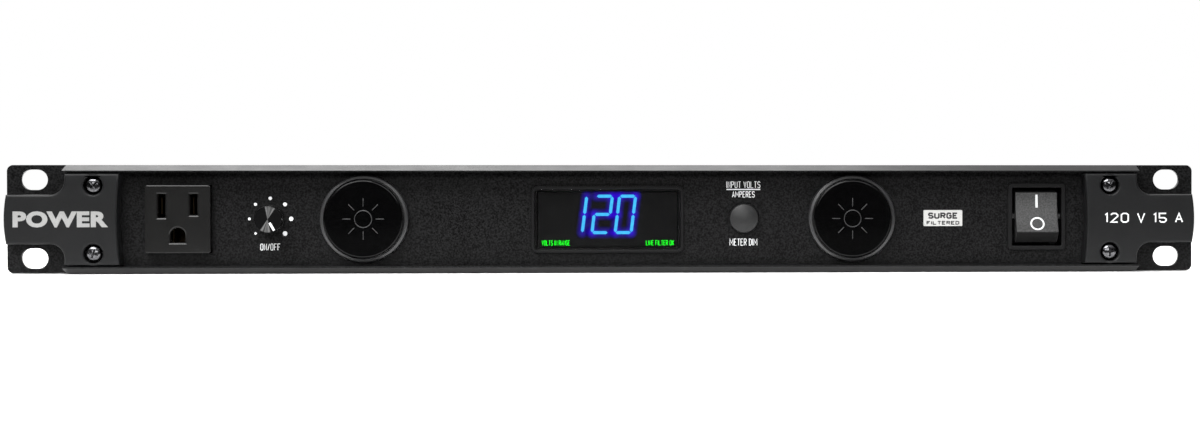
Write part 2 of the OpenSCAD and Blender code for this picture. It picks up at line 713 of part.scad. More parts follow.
module plug_blades() color("#c9c4b8") translate([plug_x - 41, coil_y + coil_r, plug_z]) {
    for (y = [-1, 1]) translate([-8.7, y * blade_x, 4]) cube([17.4, 1.5, 6.35], center = true);
    translate([0, 0, -7.9]) rotate([0, -90, 0]) cylinder(h = 20, r = 2.35);
}

// ---- inside ----------------------------------------------------------------

module surge_board() color("#1f5a34") block([-70, 30, surge_z], [70, 150, surge_z + pcb_t]);

module board_standoffs() color("silver")
    for (x = [-64, 64], y = [36, 144])
        translate([x, y, floor_top]) cylinder(h = surge_z - floor_top, r = 3);

// Toroid core, box capacitors, electrolytics, varistors and the cut-out relay, all standing on the board.
module board_parts() color("#8a7440") {
    top = surge_z + pcb_t;
    translate([-42, 66, top + 2]) rotate_extrude() translate([9, 0]) square([8, 9]);
    for (x = [-6, 8, 22]) block([x, 50, top], [x + 10, 76, top + 18]);
    for (x = [44, 58]) translate([x, 62, top]) cylinder(h = 26, r = 6.3);
    for (y = [104, 114, 124]) translate([-46, y, top + 10]) rotate([90, 0, 0]) cylinder(h = 4.6, r = 9);
    block([0, 100, top], [28, 116, top + 16]);
    block([36, 96, top], [60, 128, top + 22]);
}

// Turns of wire round the toroid core, in two windings.
module choke_windings() color("#b8672c")
    translate([-42, 66, surge_z + pcb_t + 6.5])
        for (side = [0, 180], i = [-4:4]) rotate([0, 0, side + i * 15]) translate([13, 0, 0])
            rotate([90, 0, 0]) linear_extrude(1.2, center = true) difference() {
                square([10.8, 11.8], center = true);
                square([8.6, 9.6], center = true);
            }

module transformer() color("#5b5d60") {
    block([140, 62, floor_top], [182, 66, floor_top + 34]);
    block([140, 92, floor_top], [182, 96, floor_top + 34]);
    for (x = [140, 175]) block([x, 66, floor_top], [x + 7, 92, floor_top + 34]);
    block([154, 66, floor_top + 4], [168, 92, floor_top + 30]);
}

// Mains leads over the lamp tubes, between the switch, the front outlet and the surge board.
module mains_wires() color("#202022") {
    high = 17.4;
    low = surge_z + pcb_t + 1.3;
    for (i = [0, 1]) {
        lane = 48 + 5 * i;
        tab_z = switch_z + terminal_z * (1 - 2 * i);
        tab_x = outlet_x - blade_x * (2 * i - 1);
        tab_back = switch_back + 9 + wire_r + 0.2;
        wire([[switch_x + terminal_x, tab_back, tab_z], [switch_x + terminal_x, lane - 6, tab_z],
            [switch_x + terminal_x, lane, high], [66, lane, high], [66, lane, low]], wire_r);
        wire([[tab_x, 30.4, blade_z], [tab_x, lane, high], [-66, lane, high], [-66, lane, low]], wire_r);
    }
}

// ---- one call per node -----------------------------------------------------

front_panel();
left_end_cap();
right_end_cap();
end_cap_screws();
end_cap_nuts();
chassis_tray();
top_cover();
cover_screws();
front_outlet_housing();
front_outlet_contacts();
dimmer_knob();
dimmer_pointer();
dimmer_shaft();
dimmer_plunger();
dimmer_body();
dimmer_board();
left_lamp_bezel();
left_lamp_cap();
left_lamp_tube();
left_lamp_lens();
left_lamp_board();
left_lamp_carriage();
left_lamp_track();
right_lamp_bezel();
right_lamp_cap();
right_lamp_tube();
right_lamp_lens();
right_lamp_board();
right_lamp_carriage();
right_lamp_track();
lamp_locknuts();
meter_bezel();
meter_window();
meter_display();
meter_board();
meter_button();
panel_badge();
switch_frame();
switch_rocker();
switch_terminals();
rear_outlet_housings();
rear_outlet_contacts();
breaker_body();
breaker_button();
rear_locknuts();
lamp_jack();
lamp_jack_contact();
lamp_switch_frame();
lamp_switch_rocker();
cord_bushing();
power_cord();
plug_body();
plug_blades();
surge_board();
board_parts();
choke_windings();
transformer();
board_standoffs();
mains_wires();
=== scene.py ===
"""Looks for a one-unit rack power conditioner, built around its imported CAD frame.

Lengths are in millimetres until they reach Blender, where MM turns them into metres.
+X is right of a person facing the panel, +Y goes back into the rack, +Z is up.
"""

import json
import math

import bmesh
import bpy
from mathutils import Matrix, Vector


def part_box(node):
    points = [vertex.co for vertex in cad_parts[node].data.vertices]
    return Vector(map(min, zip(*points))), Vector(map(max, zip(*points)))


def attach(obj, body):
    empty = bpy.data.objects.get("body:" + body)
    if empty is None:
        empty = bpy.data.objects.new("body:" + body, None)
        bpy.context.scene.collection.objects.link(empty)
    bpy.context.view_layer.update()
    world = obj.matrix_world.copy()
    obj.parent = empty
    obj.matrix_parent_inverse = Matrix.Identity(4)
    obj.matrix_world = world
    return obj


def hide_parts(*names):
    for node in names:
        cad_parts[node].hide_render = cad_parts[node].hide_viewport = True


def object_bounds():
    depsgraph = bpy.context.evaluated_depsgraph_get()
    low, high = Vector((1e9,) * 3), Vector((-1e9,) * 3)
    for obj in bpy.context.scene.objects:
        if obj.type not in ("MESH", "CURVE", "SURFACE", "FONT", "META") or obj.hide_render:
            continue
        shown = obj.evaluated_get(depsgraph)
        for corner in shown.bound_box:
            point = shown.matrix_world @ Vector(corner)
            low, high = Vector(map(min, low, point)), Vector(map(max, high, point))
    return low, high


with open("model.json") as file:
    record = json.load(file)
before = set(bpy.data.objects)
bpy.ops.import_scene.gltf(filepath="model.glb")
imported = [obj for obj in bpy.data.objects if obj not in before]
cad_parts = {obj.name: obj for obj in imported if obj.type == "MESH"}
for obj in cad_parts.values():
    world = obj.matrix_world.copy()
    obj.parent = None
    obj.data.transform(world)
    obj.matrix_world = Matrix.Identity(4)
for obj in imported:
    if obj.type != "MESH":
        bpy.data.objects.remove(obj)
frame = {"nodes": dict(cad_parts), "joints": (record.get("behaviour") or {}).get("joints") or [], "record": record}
cad_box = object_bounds()

MM = 0.001


# ---- measuring the frame ----------------------------------------------------

def span(node):
    """Lowest and highest corner of a CAD node, in millimetres."""
    low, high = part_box(node)
    return low / MM, high / MM


def centre(node):
    low, high = span(node)
    return (low + high) / 2


BEZEL_STAND = 1.4  # how far the meter bezel stands in front of the panel
PANEL_FRONT = span("meter_bezel")[0].y + BEZEL_STAND
TRAY_BACK = span("chassis_tray")[1].y


# ---- meshes -----------------------------------------------------------------

def placed(name, data):
    """A new object in the scene that shows the data."""
    obj = bpy.data.objects.new(name, data)
    bpy.context.scene.collection.objects.link(obj)
    return obj


def baked(data, turn=None):
    """Final mesh of a curve, a text or an object with modifiers, moved by the matrix turn."""
    holder = data if isinstance(data, bpy.types.Object) else placed("holder", data)
    bpy.context.view_layer.update()
    graph = bpy.context.evaluated_depsgraph_get()
    mesh = bpy.data.meshes.new_from_object(holder.evaluated_get(graph), depsgraph=graph)
    bpy.data.objects.remove(holder)
    if turn is not None:
        mesh.transform(turn)
    return mesh


def meshed(work, outward=False):
    """Ends the editing of a mesh and returns it, with its faces turned outward if asked."""
    if outward:
        bmesh.ops.recalc_face_normals(work, faces=work.faces)
    mesh = bpy.data.meshes.new("mesh")
    work.to_mesh(mesh)
    work.free()
    return mesh


def joined(meshes):
    """One mesh that holds all the meshes given."""
    work = bmesh.new()
    for mesh in meshes:
        work.from_mesh(mesh)
    return meshed(work)


def moved(mesh, matrix):
    """A copy of the mesh, moved by the matrix."""
    copy = mesh.copy()
    copy.transform(matrix)
    return copy


def shift(x=0, y=0, z=0):
    return Matrix.Translation((x * MM, y * MM, z * MM))


def turn_about(angle, axis):
    return Matrix.Rotation(math.radians(angle), 4, axis)


def rectangle(w, h, r=0.01, x=0, z=0, steps=6):
    """Outline of a rectangle with round corners."""
    points = []
    for quarter in range(4):
        sx = 1 if quarter in (0, 3) else -1
        sz = 1 if quarter < 2 else -1
        for i in range(steps + 1):
            a = math.radians(90 * (quarter + i / steps))
            points.append((x + sx * (w / 2 - r) + r * math.cos(a), z + sz * (h / 2 - r) + r * math.sin(a)))
    return points


def ring_points(r, x=0, z=0, steps=48):
    turns = [2 * math.pi * i / steps for i in range(steps)]
    return [(x + r * math.cos(a), z + r * math.sin(a)) for a in turns]


def outlined(outlines):
    """A filled curve whose first outline is its rim, and whose other outlines are holes."""
    curve = bpy.data.curves.new("outlines", "CURVE")
    curve.dimensions, curve.fill_mode = "2D", "BOTH"
    for outline in outlines:
        spline = curve.splines.new("POLY")
        spline.points.add(len(outline) - 1)
        for point, (x, z) in zip(spline.points, outline):
            point.co = (x * MM, z * MM, 0, 1)
        spline.use_cyclic_u = True
    return curve


def plate(outlines, y_back, y_front, bevel=0.3, steps=3):
    """A flat plate facing -Y, with its front edges rounded. Outlines are drawn in X and Z."""
    curve = outlined(outlines)
    curve.extrude = ((y_back + bevel - y_front) / 2 - bevel) * MM
    curve.bevel_depth, curve.bevel_resolution, curve.offset = bevel * MM, steps - 1, -bevel * MM
    mesh = baked(curve, shift(y=(y_back + bevel + y_front) / 2) @ turn_about(90, "X"))
    for vertex in mesh.vertices:
        vertex.co.y = min(vertex.co.y, y_back * MM)
    return cleaned(mesh)


def cleaned(mesh):
    """Merges doubled points and turns all faces outward."""
    work = bmesh.new()
    work.from_mesh(mesh)
    bmesh.ops.remove_doubles(work, verts=work.verts, dist=0.002 * MM)
    bmesh.ops.dissolve_degenerate(work, edges=work.edges, dist=0.001 * MM)
    return meshed(work, outward=True)


def rounded(points, r, steps=4, closed=False):
    """The outline with each corner cut back by r and drawn as a curve."""
    count, result = len(points), []
    for i, point in enumerate(points):
        here = Vector(point)
        if not closed and i in (0, count - 1):
            result.append(tuple(here))
            continue
        before, after = Vector(points[i - 1]), Vector(points[(i + 1) % count])
        reach = min(r, (before - here).length * 0.45, (after - here).length * 0.45)
        start = here + (before - here).normalized() * reach
        end = here + (after - here).normalized() * reach
        for k in range(steps + 1):
            t = k / steps
            result.append(tuple(start * (1 - t) ** 2 + here * (2 * t * (1 - t)) + end * t ** 2))
    return result


def lathe(profile, x=0, z=0, closed=False, steps=96, flutes=0, flute_depth=0, flute_span=(0, 0)):
    """Turns a profile of (radius, y) points about the line through x, z along Y."""
    work = bmesh.new()
    rings = []
    for r, y in profile:
        if r < 1e-6:
            rings.append([work.verts.new((x * MM, y * MM, z * MM))])
            continue
        ring = []
        fluted = flutes and flute_span[0] <= y <= flute_span[1]
        for i in range(steps):
            a = 2 * math.pi * i / steps
            radius = r - (flute_depth * (0.5 + 0.5 * math.cos(flutes * a)) if fluted else 0)
            place = Vector((x + radius * math.cos(a), y, z + radius * math.sin(a)))
            ring.append(work.verts.new(place * MM))
        rings.append(ring)
    pairs = list(zip(rings, rings[1:])) + ([(rings[-1], rings[0])] if closed else [])
    for a, b in pairs:
        for i in range(steps):
            k = (i + 1) % steps
            corners = [a[i % len(a)], a[k % len(a)], b[k % len(b)], b[i % len(b)]]
            corners = [c for n, c in enumerate(corners) if c not in corners[:n]]
            if len(corners) > 2:
                work.faces.new(corners)
    return meshed(work, outward=True)


def prism(outline, y_back, y_front):
    """A flat-sided solid with the given outline in X and Z."""
    work = bmesh.new()
    faces = []
    for y in (y_back, y_front):
        faces.append([work.verts.new((x * MM, y * MM, z * MM)) for x, z in outline])
        work.faces.new(faces[-1])
    count = len(outline)
    for i in range(count):
        k = (i + 1) % count
        work.faces.new((faces[0][i], faces[0][k], faces[1][k], faces[1][i]))
    return meshed(work, outward=True)


def stroke(points, w):
    """Outline of a line of width w through the points, with mitred corners and square ends."""
    points = [Vector(p) for p in points]
    left, right = [], []
    for i, point in enumerate(points):
        before = (point - points[i - 1]).normalized() if i else None
        after = (points[i + 1] - point).normalized() if i < len(points) - 1 else None
        along = ((before or after) + (after or before)).normalized()
        side = Vector((-along.y, along.x))
        spread = side * (w / 2) / max(0.5, along.dot(after or before))
        left.append(tuple(point + spread))
        right.append(tuple(point - spread))
    return left + right[::-1]


# Letters and figures on a grid four wide and six high. Each pair of figures is a point, and a bar
# starts a new stroke.
GLYPHS = {
    "A": "00 26 40|12 32", "D": "03 06 26 45 41 20 00 03", "E": "46 06 00 40|03 33", "F": "46 06 00|03 33",
    "G": "45 36 16 05 01 10 30 41 43 23", "I": "00 06", "K": "00 06|46 02|13 40", "L": "06 00 40",
    "M": "00 06 32 66 60", "N": "00 06 40 46", "O": "03 05 16 36 45 41 30 10 01 03",
    "P": "00 06 36 45 44 33 03", "R": "00 06 36 45 44 33 03|23 40",
    "S": "45 36 16 05 04 13 33 42 41 30 10 01", "T": "06 46|20 26", "U": "06 01 10 30 41 46",
    "V": "06 20 46", "/": "00 36", "1": "05 16 10",
    "2": "05 16 36 45 44 00 40", "3": "05 16 36 45 44 33 42 41 30 10 01|13 33", "4": "30 36 02 42",
    "5": "46 06 03 33 42 41 30 10 01", "6": "45 36 16 05 01 10 30 41 42 33 03", "7": "06 46 10",
    "8": "33 13 04 05 16 36 45 44 33 42 41 30 10 01 02 13", "0": "03 05 16 36 45 41 30 10 01 03",
}
LETTER_GAP, WORD_GAP = 2.2, 3.4


def label(text, x, z, width, height, y, w, depth=0.04):
    """Narrow letters of stroke width w, centred on x, z and standing depth in front of y."""
    strokes, reach = [], 0
    for letter in text:
        if letter == " ":
            reach += WORD_GAP
            continue
        lines = [[(int(p[0]), int(p[1])) for p in line.split()] for line in GLYPHS[letter].split("|")]
        strokes += [[(reach + px, pz) for px, pz in line] for line in lines]
        reach += max(px for line in lines for px, pz in line) + LETTER_GAP
    reach -= LETTER_GAP
    wide, tall = (width - w) / reach, (height - w) / 6
    meshes = []
    for n, line in enumerate(strokes):
        points = [(x + (px - reach / 2) * wide, z + (pz - 3) * tall) for px, pz in line]
        meshes.append(prism(stroke(points, w), y + 0.02, y - depth - 0.001 * (n % 3)))
    return joined(meshes)


def lettering(text, x, z, width, height, y, depth=0.04, weight=0.0, spacing=1.0):
    """Plain heavy letters facing -Y, fitted to a width and a height about the point x, z."""
    curve = bpy.data.curves.new("letters", "FONT")
    curve.body, curve.size, curve.extrude, curve.offset = text, 1, 0.05, weight
    curve.space_character, curve.resolution_u = spacing, 4
    mesh = baked(curve)
    xs = [v.co.x for v in mesh.vertices]
    ys = [v.co.y for v in mesh.vertices]
    wide, tall = max(xs) - min(xs), max(ys) - min(ys)
    middle = ((max(xs) + min(xs)) / 2, (max(ys) + min(ys)) / 2)
    for v in mesh.vertices:
        front = v.co.z > 0
        v.co = ((x + (v.co.x - middle[0]) * width / wide) * MM, (y - (depth if front else -0.02)) * MM,
                (z + (v.co.y - middle[1]) * height / tall) * MM)
    return cleaned(mesh)


def flat(outlines, y):
    """A flat face at y, with the first outline as its rim and the rest as holes."""
    return baked(outlined(outlines), shift(y=y) @ turn_about(90, "X"))


def loft(rings):
    """A wall through outlines of equal point count, given as (outline, y) pairs."""
    work = bmesh.new()
    loops = [[work.verts.new((x * MM, y * MM, z * MM)) for x, z in outline] for outline, y in rings]
    count = len(loops[0])
    for a, b in zip(loops, loops[1:]):
        for i in range(count):
            k = (i + 1) % count
            work.faces.new((a[i], a[k], b[k], b[i]))
    return meshed(work)


def bar(ax, az, bx, bz, w, y, depth, bevel=0.05):
    """A straight line with round ends, as a low ridge on a face that faces -Y."""
    length = math.hypot(bx - ax, bz - az)
    angle = math.degrees(math.atan2(bz - az, bx - ax))
    mesh = plate([rectangle(length + w, w, w * 0.49, steps=4)], 0, -depth, bevel, 2)
    mesh.transform(shift((ax + bx) / 2, y, (az + bz) / 2) @ turn_about(-angle, "Y"))
    return mesh


def piece(name, mesh, finish, replaces=(), body="chassis", angle=35, flat_first=True):
    """Adds a mesh to the object, hides the CAD nodes it stands for, and attaches it to the body it rides on."""
    mesh.name = name
    obj = placed(name, mesh)
    mesh.materials.clear()
    mesh.materials.append(M[finish])
    mesh.shade_smooth()
    mesh.set_sharp_from_angle(angle=math.radians(angle))
    if flat_first:
        normals = obj.modifiers.new("face_weights", "WEIGHTED_NORMAL")
        normals.keep_sharp = True
    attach(obj, body)
    if replaces:
        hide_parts(*replaces)


def dress(node, material, bevel=0.25, segments=2):
    """Gives a CAD node its material and softens its edges with modifiers. Its mesh stays as it is."""
    obj = frame["nodes"][node]
    obj.data.materials.clear()
    obj.data.materials.append(material)
    weld = obj.modifiers.new("weld", "WELD")
    weld.merge_threshold = 0.002 * MM
    if bevel:
        soft = obj.modifiers.new("soft_edges", "BEVEL")
        soft.width, soft.segments = bevel * MM, segments
        soft.limit_method, soft.angle_limit = "ANGLE", math.radians(40)
        soft.harden_normals = True
        soft.miter_outer = "MITER_ARC"


# ---- materials --------------------------------------------------------------

class Nodes:
    """Adds nodes to a tree. Each input is a plain value or the output of another node."""

    def __init__(self, tree):
        self.tree = tree

    def node(self, kind, inputs=None, **settings):
        made = self.tree.nodes.new(kind)
        for key, value in settings.items():
            setattr(made, key, value)
        for key, value in (inputs or {}).items():
            self.feed(made.inputs[key], value)
        return made

    def feed(self, socket, value):
        if isinstance(value, bpy.types.NodeSocket):
            self.tree.links.new(value, socket)
        elif isinstance(value, tuple) and len(value) == 3 and socket.type == "RGBA":
            socket.default_value = (*value, 1)
        else:
            socket.default_value = value

    def ranged(self, value, low, high, to_low=0, to_high=1, soft=False):
        settings = {"interpolation_type": "SMOOTHSTEP"} if soft else {}
        return self.node("ShaderNodeMapRange", {"Value": value, "From Min": low, "From Max": high,
                                                "To Min": to_low, "To Max": to_high}, **settings).outputs[0]

    def maths(self, operation, a, b=0.0):
        return self.node("ShaderNodeMath", {0: a, 1: b}, operation=operation).outputs[0]


class Finish(Nodes):
    """A material under construction. Textures use object coordinates, so they move with their piece."""

    def __init__(self, name):
        self.material = bpy.data.materials.new(name)
        self.material.use_nodes = True
        super().__init__(self.material.node_tree)
        self.surface = self.tree.nodes["Principled BSDF"]
        self.place = self.node("ShaderNodeTexCoord").outputs["Object"]

    def set(self, **values):
        for key, value in values.items():
            self.feed(self.surface.inputs[key.replace("_", " ")], value)

    def ending(self, kind, inputs):
        """Ends the material in a shader that combines others."""
        last = self.node(kind, inputs).outputs[0]
        self.feed(self.tree.nodes["Material Output"].inputs["Surface"], last)
        return self.material

    def noise(self, size, detail=2.0, stretch=(1, 1, 1), rough=0.5):
        """Cloudy noise whose lumps are about size millimetres across."""
        pulled = self.node("ShaderNodeMapping", {"Vector": self.place, "Scale": stretch})
        return self.node("ShaderNodeTexNoise", {"Vector": pulled.outputs[0], "Scale": 1 / (size * MM),
                                                "Detail": detail, "Roughness": rough}).outputs["Fac"]

    def mixed(self, factor, a, b, blend="MIX"):
        made = self.node("ShaderNodeMix", data_type="RGBA", blend_type=blend)
        for index, value in ((0, factor), (6, a), (7, b)):
            self.feed(made.inputs[index], value)
        return made.outputs[2]

    def bumped(self, height, depth, below=None):
        inputs = {"Height": height, "Strength": 1.0, "Distance": depth * MM}
        if below is not None:
            inputs["Normal"] = below
        return self.node("ShaderNodeBump", inputs).outputs[0]

    def edges(self, radius=0.4):
        """Bright where the surface turns within radius millimetres, so that edges can show wear."""
        soft = self.node("ShaderNodeBevel", {"Radius": radius * MM}, samples=4).outputs[0]
        true = self.node("ShaderNodeNewGeometry").outputs["Normal"]
        meet = self.node("ShaderNodeVectorMath", {0: soft, 1: true}, operation="DOT_PRODUCT")
        return self.ranged(meet.outputs["Value"], 1.0, 0.85)


def scaled(colour, factor):
    return tuple(c * factor for c in colour)


def grained(name, colour, rough, grain=0.4, depth=0.01, speckle=0.35, wear=0.0, metal=0.0,
            specular=0.5, dust=0.12, brushed=(1, 1, 1)):
    """Paint, moulded plastic or plain metal: mottled colour, fine grain, uneven gloss and worn edges."""
    f = Finish(name)
    fine = f.noise(grain, 2, brushed)
    cloud = f.noise(38, 4)
    tone = f.mixed(f.ranged(fine, 0.35, 0.65), scaled(colour, 1 - speckle), scaled(colour, 1 + speckle))
    tone = f.mixed(f.ranged(cloud, 0.45, 0.75, 0, dust), tone, scaled(colour, 2.2))
    if wear:
        patchy = f.maths("MULTIPLY", f.edges(), f.ranged(f.noise(3, 3), 0.4, 0.65, 0.2, 1))
        tone = f.mixed(f.maths("MULTIPLY", patchy, wear), tone, tuple(min(1, c * 3 + 0.03) for c in colour))
    gloss = f.ranged(f.maths("ADD", f.noise(9, 3), f.maths("MULTIPLY", fine, 0.5)), 0.4, 1.1,
                     rough * 0.88, min(1, rough * 1.12))
    f.set(Base_Color=tone, Roughness=gloss, Metallic=metal, Specular_IOR_Level=specular,
          Normal=f.bumped(fine, depth))
    return f


def coated(*settings, **more_settings):
    return grained(*settings, **more_settings).material


def turned_face_painted_shine(name):
    """Turned face: fine rings, and painted highlights in the base colour: two opposite bright wedges, one above
    the middle and one below.
    """
    f = Finish(name)
    middle = centre("dimmer_knob") * MM
    local = f.node("ShaderNodeVectorMath", {0: f.place, 1: middle}, operation="SUBTRACT").outputs[0]
    axes = f.node("ShaderNodeSeparateXYZ", {"Vector": local}).outputs
    turn = f.maths("ARCTAN2", axes["X"], axes["Z"])
    lean = f.maths("ABSOLUTE", f.maths("SINE", f.maths("ADD", turn, math.radians(-11))))
    rays = f.node("ShaderNodeTexNoise", {"W": f.maths("MULTIPLY", turn, 5.0), "Scale": 1.6, "Detail": 2},
                  noise_dimensions="1D").outputs["Fac"]
    # Painted highlight: bright wedges above and below the middle, with a brighter rim along their edges, mixed
    # into the base colour.
    wedge = f.maths("MULTIPLY", f.ranged(lean, 0.30, 0.42, 1, 0), f.ranged(rays, 0.38, 0.62, 0.15, 0.8))
    rim = f.maths("MULTIPLY", f.ranged(lean, 0.22, 0.30, 0, 1), f.ranged(lean, 0.34, 0.42, 1, 0))
    shine = f.maths("ADD", wedge, f.maths("MULTIPLY", rim, 0.8))
    f.set(Base_Color=f.mixed(shine, (0.003, 0.003, 0.0032), (0.15, 0.15, 0.15)), Roughness=0.3,
          Specular_IOR_Level=0.08, Normal=f.bumped(rays, 0.003))
    return f.material


def rocker_plastic_painted_shade(name, colour, rough, **settings):
    """Grained where it is pressed, with painted shade: darker and less specular on the ends that face up or down.
    """
    f = grained(name, colour, rough, **settings)
    true_normal = f.node("ShaderNodeNewGeometry").outputs["True Normal"]
    facing = f.node("ShaderNodeSeparateXYZ", {"Vector": true_normal})
    # Painted shade: faces turned up or down get a darker base colour and a lower specular level.
    ends = f.ranged(f.maths("ABSOLUTE", facing.outputs["Z"]), 0.55, 0.75)
    tone = f.surface.inputs["Base Color"].links[0].from_socket
    f.set(Base_Color=f.mixed(ends, tone, scaled(colour, 0.3)),
          Specular_IOR_Level=f.ranged(ends, 0, 1, 0.5, 0.1))
    return f.material


def lit(name, colour, strength, flicker=0.12):
    """A glowing segment or legend behind the meter window."""
    f = Finish(name)
    uneven = f.ranged(f.noise(1.6, 2), 0.3, 0.7, 1 - flicker, 1 + flicker)
    f.set(Base_Color=scaled(colour, 0.1), Roughness=0.5, Emission_Color=colour,
          Emission_Strength=f.maths("MULTIPLY", uneven, strength))
    return f.material


def halo(name, colour, strength):
    """Light that fades with the mesh's glow attribute and lets what is behind show through."""
    f = Finish(name)
    fade = f.node("ShaderNodeAttribute", attribute_name="glow").outputs["Fac"]
    glow = f.node("ShaderNodeEmission", {"Color": colour, "Strength": f.maths("MULTIPLY", fade, strength)})
    clear = f.node("ShaderNodeBsdfTransparent")
    return f.ending("ShaderNodeAddShader", {0: glow.outputs[0], 1: clear.outputs[0]})


def window_glass(name, tint, rough=0.06, specular=0.5):
    """Thin tinted sheet: clear straight through, with a reflection on its face."""
    f = Finish(name)
    smear = f.noise(14, 4)
    gloss = f.ranged(smear, 0.3, 0.7, rough, rough * 2)
    shine = f.node("ShaderNodeBsdfGlossy", {"Color": (1, 1, 1), "Roughness": gloss,
                                            "Normal": f.bumped(f.noise(22, 1), 0.01)})
    through = f.node("ShaderNodeBsdfTransparent", {"Color": f.mixed(smear, tint, scaled(tint, 0.94))})
    outside = f.ranged(f.node("ShaderNodeNewGeometry").outputs["Backfacing"], 0, 1, 1, 0)
    facing = f.maths("MULTIPLY", f.node("ShaderNodeFresnel", {"IOR": 1.0 + specular}).outputs[0], outside)
    return f.ending("ShaderNodeMixShader", {0: facing, 1: through.outputs[0], 2: shine.outputs[0]})


def circuit(name, base, trace):
    """Solder resist over square-cornered copper traces."""
    f = Finish(name)
    tracks = f.node("ShaderNodeTexBrick", {"Vector": f.place, "Scale": 160, "Color1": (1, 1, 1),
                                           "Color2": (0.8, 0.8, 0.8), "Mortar": (0, 0, 0),
                                           "Mortar Size": 0.03}).outputs["Fac"]
    mottle = f.noise(6, 3)
    f.set(Base_Color=f.mixed(tracks, f.mixed(mottle, base, scaled(base, 1.5)), trace), Roughness=0.32,
          Coat_Weight=0.4, Normal=f.bumped(tracks, 0.03))
    return f.material


def laminated(name, colour):
    """Stacked steel sheets, drawn as fine bands along Z."""
    f = Finish(name)
    wave = f.node("ShaderNodeTexWave", {"Vector": f.place, "Scale": 320, "Distortion": 0.4},
                  bands_direction="Z")
    sheets = wave.outputs["Fac"]
    f.set(Base_Color=f.mixed(sheets, scaled(colour, 0.6), scaled(colour, 1.2)), Metallic=0.8,
          Roughness=0.45, Normal=f.bumped(sheets, 0.08))
    return f.material


